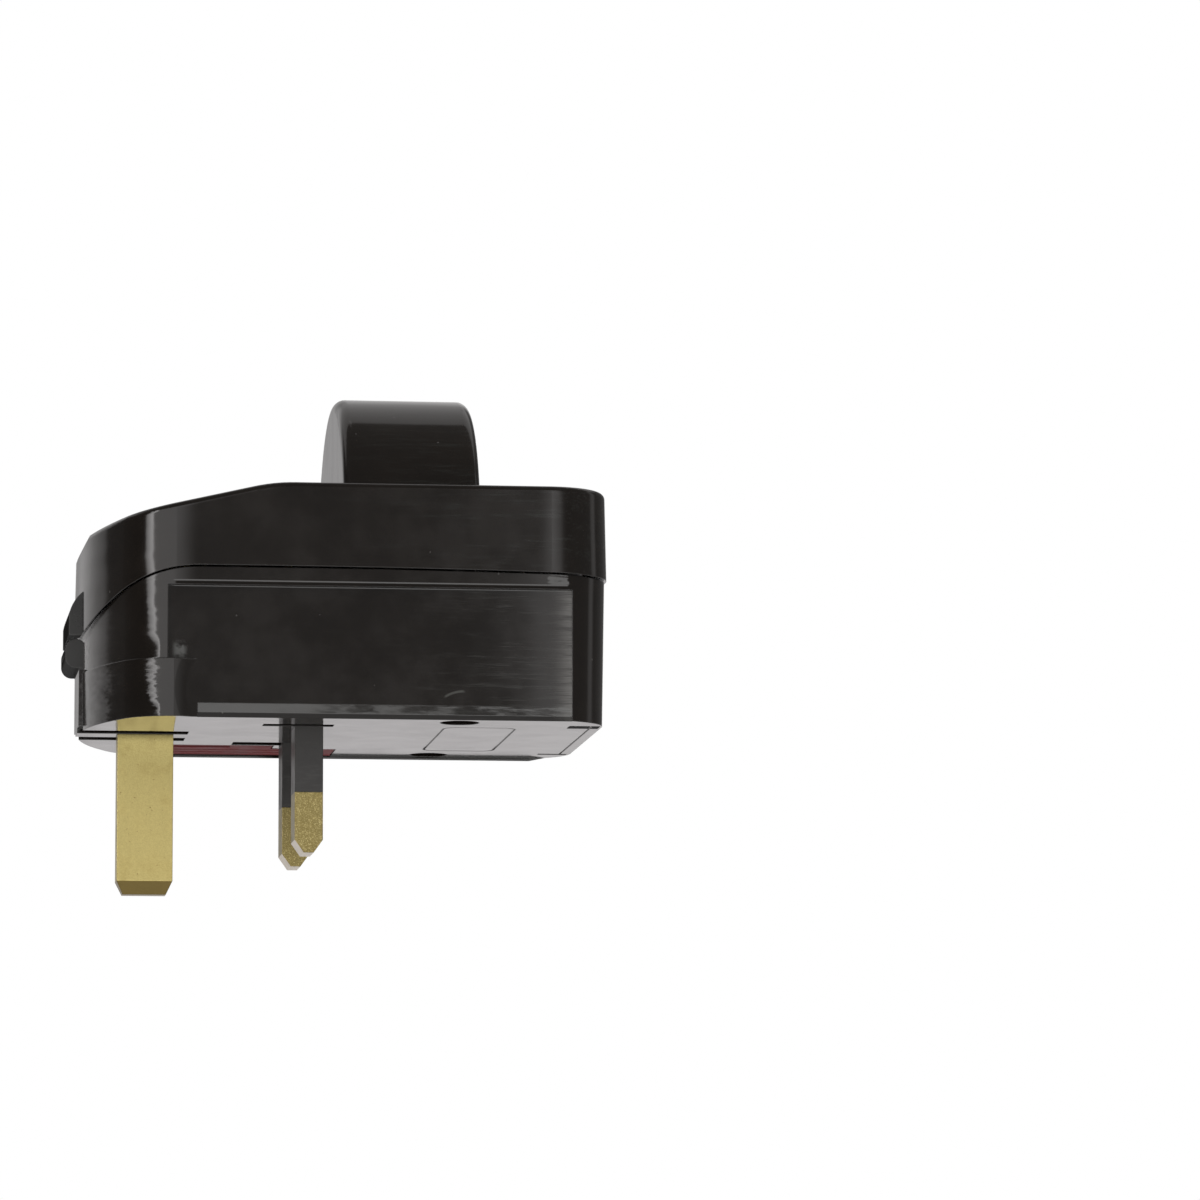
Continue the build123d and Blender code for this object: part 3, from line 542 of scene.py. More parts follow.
@dataclass(frozen=True)
class BasePlastic(BlackPlastic):
    """The base's black, with its brushed panels, ridged band, ledge lines and a scuff, plus painted sheen and
    a painted reflection on the panel and painted shade in the end slot.
    """

    end_out: float = 0.0
    end_lean: float = 0.0167
    lug_half: float = 6.7 * MM
    ghost_x: float = -NOWHERE
    roll_right: Triple = (33.0 * MM, 51.0 * MM, 56.0 * MM)
    panel: Zone = Zone(depth=(24.75, 25.11, 0.01), x=(-9.5, 47.0, 0.05), z=(-0.1, 18.4, 0.05))
    brushed: Colour = (0.036, 0.036, 0.032)
    brushed_x: Pair = (18.0 * MM, 47.0 * MM)
    brushed_rough: float = 0.08
    streak_turn: float = 0.45
    # Lighter streaks towards the panel's right end: painted sheen.
    painted_sheen: Colour = (0.125, 0.120, 0.112)
    painted_sheen_x: Pair = (42.0 * MM, 47.2 * MM)
    hollow: Zone = Zone(x=(-8.7, 46.4, 0.6), z=(18.43, 18.84, 0.03))
    hollow_turn: float = 0.35
    over_rim: Zone = Zone(x=(-8.7, 46.4, 0.6), z=(18.90, 19.08, 0.03))
    under_rim: Zone = Zone(x=(-8.7, 46.4, 0.6), z=(18.23, 18.39, 0.03))
    rim_turn: float = 0.2
    gleam: Zone = Zone(x=(43.4, 46.6, 0.6), z=(19.1, 20.7, 0.1))
    gleam_turn: float = 0.2
    foot: Zone = Zone(depth=(24.65, 25.05, 0.005), x=(-5.3, 47.0, 0.05), z=(-0.05, 2.0, 0.1))
    foot_x: Pair = (6.0 * MM, 18.0 * MM)
    foot_turn: float = 0.055
    foot_edge: Pair = (0.75 * MM, 0.55 * MM)
    foot_edge_turn: float = 0.45
    band_top: float = 8.1 * MM
    band_edge: float = 0.3 * MM
    ridged_x: Pair = (-9.2 * MM, -10.6 * MM)
    ridge_turn: float = 0.5
    corner_x: tuple[float, ...] = (-15.5 * MM, -12.9 * MM, -11.0 * MM, -10.2 * MM)
    corner_z: tuple[float, ...] = (8.1 * MM, 8.3 * MM, 9.5 * MM, 11.7 * MM)
    corner_foot: Pair = (2.4 * MM, 0.9 * MM)
    corner_turn: float = 0.19
    scoop: Zone = Zone(depth=(24.99, 26.05, 0.01), x=(-8.6, -5.4, 0.05), z=(0.1, 8.0, 0.05))
    scoop_flat: float = 20.0  # leans so far that the cone looks flat
    scoop_x: Pair = (-6.3 * MM, -8.6 * MM)
    scoop_turn: float = 0.045
    # The end slot gets a near-black tint as painted shade, and leans towards the front.
    slot: Zone = Zone(x=(47.4, 51.7, 0.1), y=(-18.9, -15.9, 0.3))
    slot_top: float = 0.02 * MM
    painted_slot_shade: Colour = (0.004, 0.004, 0.004)
    slot_turn: float = 1.6
    # The pale patch on the near panel is a painted reflection.
    patch: Zone = Zone(x=(-8.6, -7.0, 0.45), z=(8.4, 10.3, 0.6))
    painted_reflection_tint: Colour = (0.105, 0.105, 0.100)
    scuff: Pair = (30.45 * MM, 3.81 * MM)
    scuff_tilt: Pair = (0.96, 0.28)  # cosine and sine
    scuff_bend: float = 0.10
    scuff_width: Pair = (0.26, 0.06)  # halves in mm, for the length too
    scuff_length: Pair = (1.7, 1.1)
    scuff_tint: Colour = (0.075, 0.075, 0.068)

    def bare(self, graph: Graph) -> Value:
        """1 off the panels, else 0."""
        return graph.calc("SUBTRACT", 1.0, self.panel.mask(graph))

    def ledge(self, graph: Graph, normal: Value) -> Socket:
        """Rounds the ledge above the panel, over and under its edge, and lets it gleam at the right."""
        normal = graph.lean(normal, UP, self.hollow.mask(graph), self.hollow_turn)
        rims = graph.total(self.over_rim.mask(graph), self.under_rim.mask(graph))
        normal = graph.lean(normal, DOWN, rims, self.rim_turn)
        lines = graph.effect(Effect.LINES, Stretch=(0.1, 1.0, 1.0), Scale=2200.0)
        broken = graph.span(lines["Height"], 0.3, 0.6)
        return graph.lean(normal, DOWN, self.gleam.mask(graph), broken, self.gleam_turn)

    def uneven_foot(self, graph: Graph, normal: Value) -> Socket:
        """Makes the panel's foot uneven, duller to the right, with a dark lower edge."""
        x, _, z = graph.axes()
        place = self.foot.mask(graph)
        dull = graph.span(x, *self.foot_x, 0.25, 1.0)
        uneven = graph.noise(graph.place(scale=(1.0, 0.0, 3.0)), 260.0, detail=3.0, rough=0.6)
        uneven = graph.product(dull, graph.span(uneven, 0.35, 0.65, 0.4, 1.0))
        normal = graph.lean(normal, UP, place, uneven, self.foot_turn)
        return graph.lean(normal, DOWN, place, graph.span(z, *self.foot_edge), self.foot_edge_turn)

    def turns(self, graph: Graph, normal: Value) -> Socket:
        """Turns the left corner to the end above the band and at its foot, and lays the scoop flat."""
        x, y, z = graph.axes()
        corner = graph.hill(x, *self.corner_x)
        height = graph.total(graph.hill(z, *self.corner_z), graph.span(z, *self.corner_foot))
        normal = graph.lean(normal, TO_HINGE, corner, height, self.corner_turn)
        scoop = self.scoop.mask(graph)
        normal = graph.lean(normal, TO_FRONT, scoop, graph.calc("SIGN", y), -self.scoop_flat)
        return graph.lean(normal, TO_HINGE, scoop, graph.span(x, *self.scoop_x), self.scoop_turn)

    def scuff_and_painted_reflection(self, graph: Graph, tint: Value) -> Socket:
        """A pale patch of painted reflection and a short curved scuff on the near panel."""
        x, y, z = graph.axes()
        near = graph.calc("LESS_THAN", y, 0.0)
        flecks = graph.span(graph.noise(graph.place(), 900.0), 0.3, 0.55)
        along = graph.product(graph.calc("SUBTRACT", x, self.scuff[0]), 1.0 / MM)
        up = graph.product(graph.calc("SUBTRACT", z, self.scuff[1]), 1.0 / MM)
        cosine, sine = self.scuff_tilt
        u = graph.total(graph.product(along, cosine), graph.product(up, sine))
        v = graph.calc("SUBTRACT", graph.product(up, cosine), graph.product(along, sine))
        v = graph.total(v, graph.product(u, u, self.scuff_bend))
        across = graph.span(graph.calc("ABSOLUTE", v), *self.scuff_width)
        length = graph.span(graph.calc("ABSOLUTE", u), *self.scuff_length)
        return graph.layers(
            tint,
            # painted reflection: the pale patch
            (self.painted_reflection_tint, self.patch.mask(graph), near, flecks),
            (self.scuff_tint, across, length, near, 0.85),
        )

    def marks(self, graph: Graph, tint: Value, rough: Value, normal: Value) -> tuple[Value, Value, Value]:
        """Brushed panels, ridges on the band, painted shade in the end slot, ledge lines, a scuff, and
        painted sheen and a painted reflection on the panels.
        """
        x, _, z = graph.axes()
        panel = self.panel.mask(graph)
        rub = graph.effect(Effect.LINES, Stretch=(0.05, 1.0, 1.0), Scale=6200.0)
        wear = graph.span(x, *self.brushed_x, 0.06, 0.9)
        brushed = graph.product(panel, rub["Mask"], wear)
        # Painted sheen: lighter streaks towards the panel's right end, along the brushed lines.
        painted_sheen = graph.span(rub["Height"], 0.2, 0.6, 0.4, 1.0)
        painted_sheen = graph.product(panel, graph.span(x, *self.painted_sheen_x), painted_sheen)
        # The end slot's mask: painted shade there, and a lean.
        slot = graph.product(self.slot.mask(graph), graph.calc("LESS_THAN", z, self.slot_top))
        tint = graph.layers(
            tint,
            (self.brushed, brushed, 0.7),
            # painted sheen at the panel's right end
            (self.painted_sheen, painted_sheen, painted_sheen, painted_sheen),
            # painted shade in the end slot
            (self.painted_slot_shade, slot),
        )
        rough = graph.total(rough, graph.product(brushed, self.brushed_rough))
        comb = graph.effect(Effect.LINES, Stretch=(0.30, 0.30, 1.0), Scale=1700.0)
        low = graph.span(z, self.band_top - self.band_edge, self.band_top, 1.0, 0.3)
        low = graph.calc("SUBTRACT", low, panel, clamp=True)
        ridged = graph.product(graph.centred(comb["Height"]), low, graph.span(x, *self.ridged_x))
        normal = graph.lean(normal, TO_CABLE, ridged, self.ridge_turn)
        normal = graph.lean(normal, UP, graph.centred(rub["Height"]), panel, wear, self.streak_turn)
        normal = graph.lean(normal, TO_FRONT, slot, self.slot_turn)
        normal = self.turns(graph, self.uneven_foot(graph, self.ledge(graph, normal)))
        return self.scuff_and_painted_reflection(graph, tint), rough, normal


@dataclass(frozen=True)
class Brass(Finish):
    """Brass with drawn lines, tarnish, spots, pale edges that are partly rubbed and partly a painted
    highlight, a worn tip, painted light on faces turned down, and painted shade where the pin enters the
    body.
    """

    dull: Colour = (0.22, 0.165, 0.055)
    pale: Colour = (0.60, 0.52, 0.40)
    spot: Colour = (0.15, 0.09, 0.03)
    grit: Colour = (0.13, 0.10, 0.035)
    glint: Colour = (0.62, 0.54, 0.28)
    # Colour of the painted shade where the pin enters the body.
    entry_shade: Colour = (0.02, 0.016, 0.008)
    stretch: Triple = (1.0, 1.0, 0.03)
    spots: float = 0.5
    scored: float = 0.2
    scored_depth: float = 0.015 * MM
    worn_level: float = -NOWHERE
    worn_fade: float = 0.5 * MM
    worn_depth: float = 0.012 * MM
    # Faces turned down get this colour as painted light: painted shade on the earth pin, a pale painted
    # reflection on the line and neutral pins.
    under: Colour = (0.30, 0.24, 0.09)
    painted_underside_share: float = 0.0
    # Painted shade on the pin from this level up, fading in over the fade below it.
    entry_shade_level: float = NOWHERE
    entry_shade_fade: float = 0.25 * MM

    def paint(self, graph: Graph, shader: Node) -> None:
        """Feeds the shader."""
        lines = graph.effect(Effect.LINES, Stretch=self.stretch, Scale=4200.0)
        stain = graph.effect(Effect.STAIN, Scale=330.0)
        edge = graph.effect(Effect.EDGE, Radius=0.16 * MM, Break=800.0)
        grain = graph.effect(Effect.GRAIN, Fine_Scale=6200.0, Wave_Scale=300.0)
        _, _, z = graph.axes()
        worn = graph.span(z, self.worn_level, self.worn_level - self.worn_fade)
        facing = graph.add("ShaderNodeNewGeometry").outputs["True Normal"]
        upward = graph.add("ShaderNodeSeparateXYZ", Vector=facing).outputs[2]
        tint = graph.layers(
            self.colour,
            (self.dull, stain["Mask"], 0.4),
            (self.dull, lines["Mask"], self.scored),
            (self.dull, graph.span(grain["Fine"], 0.35, 0.65, 0.0, 0.28)),
            (self.spot, stain["Spots"], self.spots),
            (self.grit, worn, graph.span(grain["Fine"], 0.60, 0.42), 0.7),
            (self.glint, worn, graph.span(grain["Fine"], 0.60, 0.70), 0.6),
            # Pale edges: partly rubbed metal, partly a painted edge highlight.
            (self.pale, edge["Mask"], 0.55),
            # painted light on faces turned down: shade on the earth pin, a pale reflection on the line and
            # neutral pins
            (self.under, graph.span(upward, -0.1, -0.3), self.painted_underside_share),
            # painted shade where the pin enters the body
            (self.entry_shade, graph.span(z, self.entry_shade_level - self.entry_shade_fade, self.entry_shade_level, 0.0, 0.92)),
        )
        smooth, coarse = (self.roughness * (1.0 + share * self.scored) for share in (-0.75, 1.25))
        rough = graph.span(lines["Height"], 0.3, 0.7, smooth, coarse)
        rough = graph.total(rough, graph.product(stain["Mask"], 0.12))
        normal = graph.bump(lines["Height"], self.scored_depth * self.scored, self.soft_edge(graph))
        normal = graph.bump(graph.product(grain["Fine"], worn), self.worn_depth, normal)
        graph.fill(shader, Base_Color=tint, Roughness=rough, Normal=normal, Metallic=1.0)


@dataclass(frozen=True)
class SatinPlastic(Finish):
    """Satin moulding with grain, mottle, streaks, rubbed edges and dust."""

    worn: Colour = (0.2, 0.19, 0.18)
    ior: float = 1.42
    grain_depth: float = 0.004 * MM
    streaks: float = 0.15

    def paint(self, graph: Graph, shader: Node) -> None:
        """Feeds the shader."""
        grain = graph.effect(Effect.GRAIN, Fine_Scale=4600.0, Wave_Scale=260.0)
        edge = graph.effect(Effect.EDGE, Radius=0.18 * MM, Break=900.0)
        specks = graph.effect(Effect.SPECKS, Scale=700.0, Amount=0.06)
        lines = graph.effect(Effect.LINES, Stretch=(0.2, 0.2, 1.0), Scale=2400.0)
        tint = graph.layers(
            self.colour,
            (self.lighter(1.4), grain["Mottle"]),
            (self.worn, lines["Mask"], self.streaks),
            (self.worn, edge["Mask"], 0.4),
            (self.worn, specks["Mask"], 0.35),
        )
        rough = self.varied(graph, grain["Mottle"], 0.85, 1.2)
        normal = graph.bump(grain["Fine"], self.grain_depth, self.soft_edge(graph))
        normal = graph.bump(lines["Height"], self.grain_depth * 2.0, normal)
        graph.fill(shader, Base_Color=tint, Roughness=rough, Normal=normal, IOR=self.ior)


@dataclass(frozen=True)
class PlatedMetal(Finish):
    """Plated steel or nickel with fine turning lines and dull patches."""

    dull: Colour = (0.28, 0.27, 0.25)
    stretch: Triple = (0.04, 1.0, 1.0)
    line_depth: float = 0.002 * MM
    stain_rough: float = 0.15
    mirrored: bool = True

    def paint(self, graph: Graph, shader: Node) -> None:
        """Feeds the shader."""
        lines = graph.effect(Effect.LINES, Stretch=self.stretch, Scale=5200.0)
        stain = graph.effect(Effect.STAIN, Scale=420.0)
        edge = graph.effect(Effect.EDGE, Radius=0.15 * MM, Break=1200.0)
        tint = graph.layers(
            self.colour,
            (self.dull, stain["Mask"], 0.4),
            (self.dull, lines["Mask"], 0.2),
            (self.lighter(1.3), edge["Mask"], 0.4),
        )
        rough = graph.span(stain["Mask"], 0.0, 1.0, self.roughness, self.roughness + self.stain_rough)
        normal = graph.bump(lines["Height"], self.line_depth, self.soft_edge(graph))
        graph.fill(shader, Base_Color=tint, Roughness=rough, Normal=normal, Metallic=1.0)
        if not self.mirrored:
            self.unmirror(graph, shader, 1.0)


@dataclass(frozen=True)
class Ceramic(Finish):
    """Unglazed ceramic with grain and faint grey handling marks."""

    grime: Colour = (0.48, 0.44, 0.38)
    grain_depth: float = 0.01 * MM

    def paint(self, graph: Graph, shader: Node) -> None:
        """Feeds the shader."""
        grain = graph.effect(Effect.GRAIN, Fine_Scale=3800.0, Wave_Scale=380.0)
        stain = graph.effect(Effect.STAIN, Scale=300.0)
        tint = graph.layers(self.colour, (self.grime, stain["Mask"], 0.3), (self.grime, stain["Spots"], 0.3))
        rough = self.varied(graph, grain["Mottle"], 0.9, 1.1)
        normal = graph.bump(grain["Fine"], self.grain_depth, self.soft_edge(graph))
        graph.fill(shader, Base_Color=tint, Roughness=rough, Normal=normal)


def dress(nodes: tuple[str, ...], material: Material) -> None:
    """Gives the CAD nodes of these names a material."""
    for name in nodes:
        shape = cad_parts[name].data
        shape.materials.clear()
        shape.materials.append(material)
        LOG.info("dressed %s in %s", name, material.name)


@dataclass
class Housing:
    """The base shell, the lid and the lip along the base's far lower edge."""

    base: BasePlastic = BasePlastic("base_black", HOUSING_BLACK, 0.12, edge=0.18 * MM)
    lid: BlackPlastic = BlackPlastic("lid_black", HOUSING_BLACK, 0.11, edge=0.18 * MM)
    lip_left: float = -6.0 * MM
    lip_right: float = 46.8 * MM
    lip_inner: float = 24.30 * MM
    lip_outer: float = 24.76 * MM
    lip_drop: float = 0.40 * MM
    lip_root: float = 0.30 * MM
    lip_round: float = 0.06 * MM
    run_out: float = 3.0 * MM
    end_scale: Triple = (1.0, 0.5, 0.25)
    right_turn_in: float = 1.0 * MM
    end_reach: float = 0.01 * MM
    smooth_angle: float = math.radians(40.0)

    def lip(self, material: Material) -> None:
        """Models the lip: a bar whose edges are rounded and whose ends run out.

        Args:
            material: The base's plastic.
        """
        bpy.ops.object.select_all(action="DESELECT")
        length, depth = self.lip_right - self.lip_left, self.lip_outer - self.lip_inner
        size = (length, depth, self.lip_drop + self.lip_root)
        middle_x, middle_y = (self.lip_left + self.lip_right) / 2, (self.lip_inner + self.lip_outer) / 2
        centre = (middle_x, middle_y, (self.lip_root - self.lip_drop) / 2)
        bpy.ops.mesh.primitive_cube_add(size=1.0, location=centre, scale=size)
        piece = bpy.context.active_object
        piece.name = "bottom_lip"
        bpy.ops.object.transform_apply(location=True, rotation=True, scale=True)
        shape = piece.data
        for end, outward in ((self.lip_left, -self.run_out), (self.lip_right, self.run_out)):
            self.pick_end(shape, end)
            bpy.ops.object.mode_set(mode="EDIT")
            bpy.ops.mesh.extrude_region_move(TRANSFORM_OT_translate={"value": (outward, 0.0, 0.0)})
            tip = (end + outward, middle_y, self.lip_root)
            bpy.ops.transform.resize(value=self.end_scale, center_override=tip)
            if end == self.lip_right:
                bpy.ops.transform.translate(value=(0.0, -self.right_turn_in, 0.0))
            bpy.ops.object.mode_set(mode="OBJECT")
        bpy.ops.object.mode_set(mode="EDIT")
        bpy.ops.mesh.select_all(action="SELECT")
        bpy.ops.mesh.bevel(offset=self.lip_round, segments=3, affect="EDGES")
        bpy.ops.mesh.normals_make_consistent(inside=False)
        bpy.ops.object.mode_set(mode="OBJECT")
        bpy.ops.object.shade_smooth_by_angle(angle=self.smooth_angle)
        shape.materials.append(material)
        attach(piece, "base")
        LOG.info("modelled %s", piece.name)

    def pick_end(self, shape: bpy.types.Mesh, end: float) -> None:
        """Selects the bar's face at one end, and nothing else."""
        for part in (shape.vertices, shape.edges, shape.polygons):
            part.foreach_set("select", [False] * len(part))
        for face in shape.polygons:
            face.select = abs(face.center.x - end) < self.end_reach

    def build(self) -> None:
        """Dresses both halves and adds the lip."""
        plastic = self.base.material()
        dress(("base_shell",), plastic)
        dress(("lid",), self.lid.material())
        self.lip(plastic)


@dataclass
class Pins:
    """The three flat pins and the two sleeves."""

    # Earth pin: painted shade on its downward faces and where it enters the body.
    brass: Brass = Brass(
        "pin_brass", (0.445, 0.372, 0.152), 0.30, spots=0.9, scored=0.05,
        under=(0.15, 0.105, 0.035), painted_underside_share=0.85, entry_shade_level=0.05 * MM,
    )
    # Line and neutral pins: a pale painted reflection on their downward faces.
    tipped: Brass = Brass(
        "pin_brass_grainy", (0.285, 0.237, 0.104), 0.36, worn_level=-8.9 * MM,
        under=(0.74, 0.68, 0.60), painted_underside_share=0.8,
    )
    sleeve: SatinPlastic = SatinPlastic("sleeve_grey", (0.022, 0.020, 0.018), 0.40, worn=(0.10, 0.097, 0.092))

    def build(self) -> None:
        """Dresses the pins and sleeves."""
        dress(("earth_pin",), self.brass.material())
        dress(("line_pin", "neutral_pin"), self.tipped.material())
        dress(("line_pin_sleeve", "neutral_pin_sleeve"), self.sleeve.material())


@dataclass
class FuseTray:
    """The red carrier with the fuse in it."""

    red: SatinPlastic = SatinPlastic(
        "carrier_red", (0.135, 0.024, 0.026), 0.55, worn=(0.28, 0.10, 0.10), ior=1.12
    )
    ceramic: Ceramic = Ceramic("fuse_ceramic", (0.78, 0.75, 0.68), 0.62)
    cap: PlatedMetal = PlatedMetal("cap_nickel", (0.62, 0.60, 0.56), 0.24)

    def build(self) -> None:
        """Dresses the carrier and the fuse."""
        dress(("fuse_carrier",), self.red.material())
        dress(("fuse_tube",), self.ceramic.material())
        dress(("fuse_cap_line", "fuse_cap_load"), self.cap.material())


@dataclass
class Contacts:
    """The contact block with its contacts, straps, clips, spring and rivets."""

    block: SatinPlastic = SatinPlastic("block_black", (0.045, 0.043, 0.041), 0.5)
    strip: Brass = Brass("strip_brass", (0.56, 0.43, 0.18), 0.32, stretch=(0.03, 1.0, 1.0))
    rivet: Brass = Brass("rivet_brass", (0.60, 0.46, 0.20), 0.28)

    def build(self) -> None:
        """Dresses the inner pieces."""
        dress(("contact_block",), self.block.material())
        strips = ("line_contact", "neutral_contact", "neutral_strap", "line_fuse_clip", "load_fuse_clip")
        dress(strips + ("line_strap", "earth_strap", "earth_spring"), self.strip.material())
        dress(("strap_rivet", "earth_rivet"), self.rivet.material())


@dataclass
class Fasteners:
    """The hinge pin, the lid screws and the inner screws."""

    steel: PlatedMetal = PlatedMetal("screw_steel", (0.45, 0.44, 0.42), 0.30)
    pin_steel: PlatedMetal = PlatedMetal("hinge_pin_steel", (0.20, 0.195, 0.19), 0.38, mirrored=False)

    def build(self) -> None:
        """Dresses the fasteners."""
        screws = ("earth_pin_screw", "line_pin_screw", "neutral_pin_screw", "block_screw_near")
        dress(screws + ("block_screw_far", "lid_screw_near", "lid_screw_far"), self.steel.material())
        dress(("hinge_pin",), self.pin_steel.material())


def heading(azimuth: float, elevation: float) -> Vector:
    """The direction at an azimuth from the front and an elevation, both in degrees."""
    turn, rise = math.radians(azimuth), math.radians(elevation)
    return Vector((math.sin(turn) * math.cos(rise), -math.cos(turn) * math.cos(rise), math.sin(rise)))


def lay_plane(name: str, size: float, along: float, level: float) -> bpy.types.Object:
    """Lays a square plane with its middle at a place along Y and a height."""
    bpy.ops.object.select_all(action="DESELECT")
    bpy.ops.mesh.primitive_plane_add(size=size, location=(0.0, along, level))
    plane = bpy.context.active_object
    plane.name = name
    return plane


def gloss_only(screen: bpy.types.Object) -> None:
    """Hides a screen from everything but gloss."""
    screen.visible_camera = False
    screen.visible_diffuse = False
    screen.visible_transmission = False
    screen.visible_shadow = False


@dataclass(frozen=True)
class SoftBox:
    """An area lamp for matt surfaces, placed by the direction in which the object sees it."""

    name: str
    azimuth: float
    elevation: float
    distance: float
    wide: float
    tall: float
    glow: float
    watts_per_area: float = 4.0  # at a glow of 1

    def build(self, target: Vector) -> None:
        """Adds the lamp, turned to the target."""
        way = heading(self.azimuth, self.elevation)
        lamp = bpy.data.lights.new(self.name, "AREA")
        lamp.shape = "RECTANGLE"
        lamp.size = self.wide
        lamp.size_y = self.tall
        lamp.energy = self.glow * self.watts_per_area * self.wide * self.tall
        holder = bpy.data.objects.new(self.name, lamp)
        bpy.context.scene.collection.objects.link(holder)
        holder.location = target + way * self.distance
        holder.rotation_euler = way.to_track_quat("Z", "Y").to_euler()
        holder.visible_camera = False
        holder.visible_glossy = False
        LOG.info("lamp %s", self.name)


@dataclass(frozen=True)
class FloorStrip:
    """A bright strip of floor that only gloss sees."""

    name: str
    along: float
    deep: float
    glow: float
    tint: Colour
    wide: float = 2.0
    lift: float = 0.002

    def build(self, floor_level: float) -> None:
        """Lays the strip just above the floor."""
        strip = lay_plane(self.name, 1.0, self.along, floor_level + self.lift)
        strip.scale = (self.wide, self.deep, 1.0)
        material, graph = blank_material(self.name)
        graph.close(graph.add("ShaderNodeEmission", Color=(*self.tint, 1.0), Strength=self.glow))
        strip.data.materials.append(material)
        gloss_only(strip)


@dataclass(frozen=True)
class Tent:
    """A round screen about the object that only its gloss sees, brighter or darker by direction."""

    radius: float = 2.0
    lift: float = 0.001
    tint: Colour = (1.0, 0.98, 0.978)
    peak: float = 8.0
    overhead: float = 0.18
    overhead_z: Pair = (0.50, 0.64)  # of the radius
    rear: float = 0.64
    rear_slope: float = 0.323
    rear_seam: float = 0.01
    strips: tuple[FloorStrip, ...] = (
        FloorStrip("front_floor_glow", -1.0, 1.4, 3.0, (1.0, 1.0, 0.99)),
        FloorStrip("rear_floor_glow", 1.15, 1.6, 0.80, (1.0, 0.968, 0.972)),
    )
    steps: tuple[Pair, ...] = (  # azimuth from the front and glow; a ramp holds 32
        (-180.0, 0.50), (-168.0, 0.43), (-160.0, 0.85), (-152.0, 0.86),
        (-143.0, 0.62), (-138.0, 0.48), (-133.5, 0.42), (-131.0, 0.10),
        (-59.5, 0.10), (-57.5, 2.8), (-45.5, 7.4), (-43.5, 1.7),
        (-12.0, 1.65), (-5.0, 1.45), (-1.0, 0.85), (3.0, 0.29),
        (7.0, 0.27), (8.3, 0.50), (9.6, 1.0), (11.2, 1.55),
        (14.0, 1.72), (20.0, 1.5), (27.0, 0.95), (34.0, 0.36),
        (40.0, 0.22), (89.0, 0.22), (93.0, 0.62), (100.0, 0.62),
        (106.0, 0.15), (158.0, 0.15), (168.0, 0.9), (180.0, 0.50),
    )

    def glow(self) -> Material:
        """The screen's glow by azimuth low down, and by front or rear overhead."""
        material, graph = blank_material("tent_glow")
        x, y, z = graph.axes()
        turn = graph.calc("DIVIDE", graph.calc("ARCTAN2", x, graph.product(y, -1.0)), 2.0 * math.pi)
        ramp = graph.add("ShaderNodeValToRGB", Fac=graph.total(turn, 0.5))
        stops = ramp.color_ramp.elements  # starts with the first and the last
        for angle, _ in self.steps[1:-1]:
            stops.new(angle / 360.0 + 0.5)
        for stop, (_, level) in zip(stops, self.steps):
            grey = level / self.peak
            stop.color = (grey, grey, grey, 1.0)
        low = graph.product(ramp.outputs[0], self.peak)
        back = graph.calc("SUBTRACT", y, graph.product(z, self.rear_slope))
        high = graph.span(back, -self.rear_seam, self.rear_seam, self.overhead, self.rear)
        share = graph.span(z, *(part * self.radius for part in self.overhead_z))
        low = graph.product(low, graph.calc("SUBTRACT", 1.0, share))
        both = graph.total(low, graph.product(high, share))
        graph.close(graph.add("ShaderNodeEmission", Color=(*self.tint, 1.0), Strength=both))
        return material

    def build(self, centre: Vector, floor_level: float) -> None:
        """Hangs the screen, cut off at the floor, and lays the bright strips of floor."""
        bpy.ops.object.select_all(action="DESELECT")
        bpy.ops.mesh.primitive_uv_sphere_add(segments=64, ring_count=48, radius=self.radius, location=centre)
        screen = bpy.context.active_object
        screen.name = "tent"
        bpy.ops.object.mode_set(mode="EDIT")
        bpy.ops.mesh.select_all(action="SELECT")
        bpy.ops.mesh.bisect(plane_co=(0.0, 0.0, floor_level + self.lift), plane_no=UP, clear_inner=True)
        bpy.ops.object.mode_set(mode="OBJECT")
        screen.data.materials.append(self.glow())
        gloss_only(screen)
        for strip in self.strips:
            strip.build(floor_level)


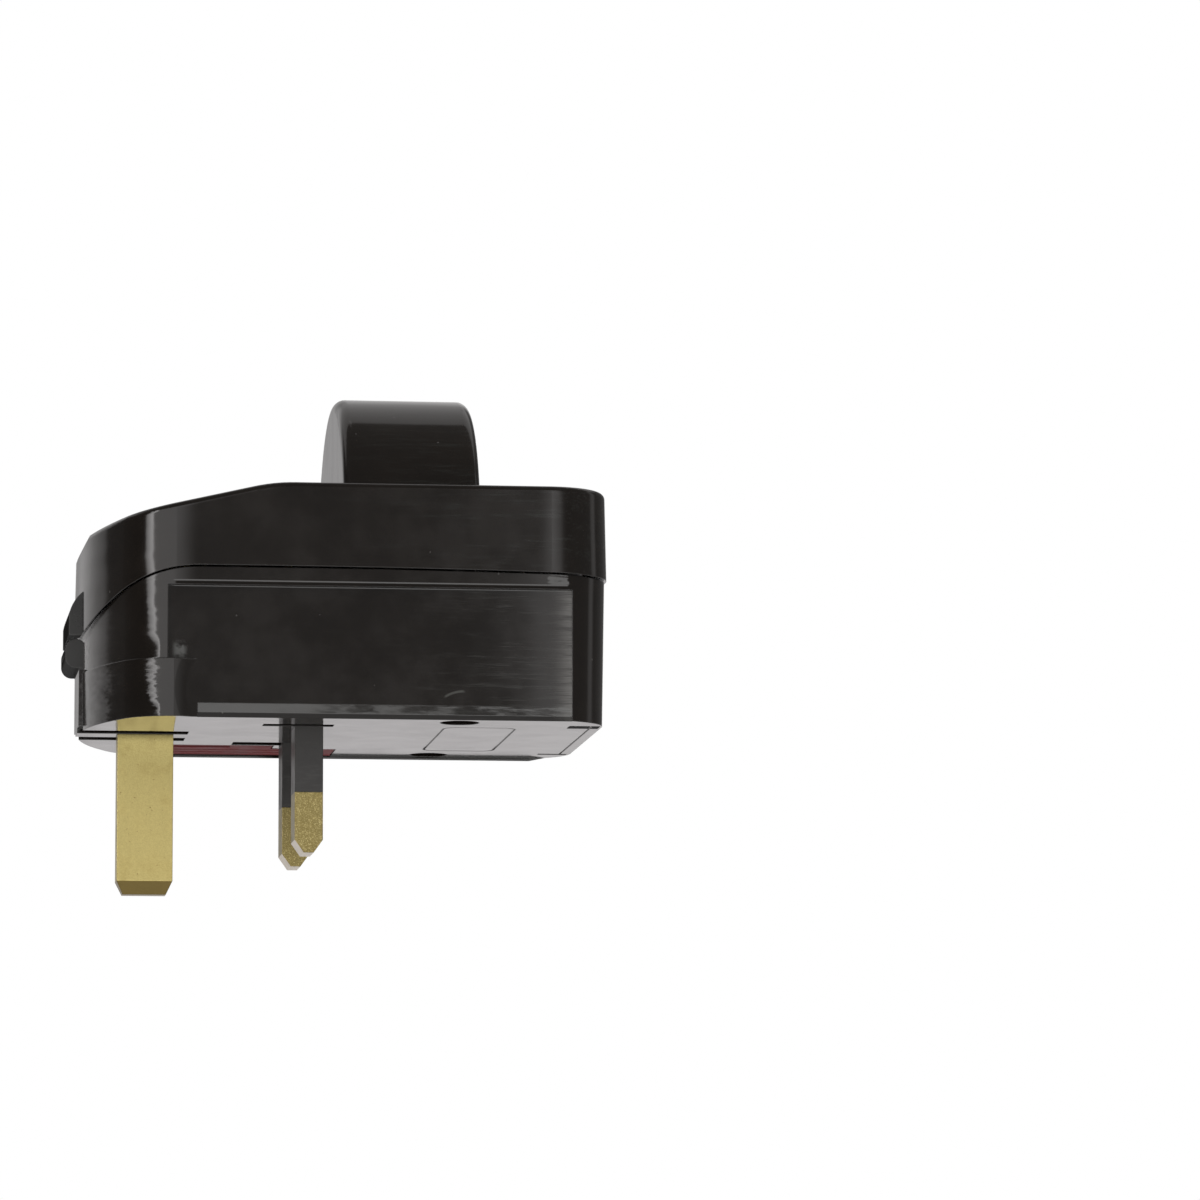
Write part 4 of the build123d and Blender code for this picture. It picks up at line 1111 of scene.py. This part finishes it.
@dataclass
class Studio:
    """Floor, tent, lamps, white surroundings and the camera."""

    floor_level: float = -0.125
    floor_size: float = 12.0
    floor_colour: Colour = (0.86, 0.855, 0.86)
    matt_light: float = 0.6  # share of the white room's light that matt surfaces get
    target: Triple = (0.015, 0.0, 0.012)
    eye: Triple = (-0.063997, -0.901159, -0.098507)
    azimuth: float = -7.4736
    elevation: float = -7.4548
    roll: float = -0.1413
    focal_px: float = 6370.1
    frame_px: float = 1200.0
    tent: Tent = Tent()
    boxes: tuple[SoftBox, ...] = (
        SoftBox("front_soft", -30.0, 35.0, 1.2, 0.60, 0.60, 1.4),
        SoftBox("top_soft", 20.0, 78.0, 1.0, 0.80, 0.80, 0.9),
    )

    def floor(self) -> None:
        """Lays a wide pale matt floor below the pins."""
        floor = lay_plane("floor", self.floor_size, 0.0, self.floor_level)
        material, graph = blank_material("floor_pale")
        shader = graph.add("ShaderNodeBsdfPrincipled", Roughness=0.8, Specular_IOR_Level=0.1)
        graph.fill(shader, Base_Color=(*self.floor_colour, 1.0))
        graph.close(shader)
        floor.data.materials.append(material)

    def surroundings(self) -> None:
        """White to the camera, gloss and glass, softer to matt surfaces."""
        world = bpy.data.worlds.new("white_room")
        world.use_nodes = True
        bpy.context.scene.world = world
        graph = Graph(world.node_tree)
        graph.tree.nodes.clear()
        path = graph.add("ShaderNodeLightPath").outputs
        rays = (path[f"Is {kind} Ray"] for kind in ("Camera", "Glossy", "Transmission"))
        seen = graph.product(graph.chain("MAXIMUM", *rays), 1.0 - self.matt_light)
        glow = graph.total(seen, self.matt_light)
        shader = graph.add("ShaderNodeBackground", Color=(1.0, 1.0, 1.0, 1.0), Strength=glow)
        graph.close(shader, "ShaderNodeOutputWorld")

    def camera(self) -> None:
        """Sets the camera at the photograph's place and angle."""
        tilt = math.radians(self.roll)
        back = heading(self.azimuth, self.elevation)
        right = Vector(UP).cross(back).normalized()
        up = back.cross(right)
        side = right * math.cos(tilt) + up * math.sin(tilt)
        top = up * math.cos(tilt) - right * math.sin(tilt)
        lens = bpy.data.cameras.new("camera")
        lens.sensor_width = 36.0
        lens.lens = self.focal_px / self.frame_px * lens.sensor_width
        lens.clip_end = 50.0
        holder = bpy.data.objects.new("camera", lens)
        bpy.context.scene.collection.objects.link(holder)
        turned = Matrix((side, top, back)).transposed().to_4x4()
        holder.matrix_world = Matrix.Translation(self.eye) @ turned
        bpy.context.scene.camera = holder

    def build(self) -> None:
        """Sets up the whole stage."""
        bpy.context.scene.view_settings.view_transform = "Standard"
        target = Vector(self.target)
        self.floor()
        self.tent.build(target, self.floor_level)
        self.surroundings()
        for box in self.boxes:
            box.build(target)
        self.camera()


def main() -> None:
    """Builds the sub-assemblies in order, then the stage."""
    logging.basicConfig(level=logging.INFO)
    for assembly in (Housing(), Pins(), FuseTray(), Contacts(), Fasteners()):
        assembly.build()
        LOG.info("built %s", type(assembly).__name__)
    Studio().build()


if __name__ == "__main__":
    main()
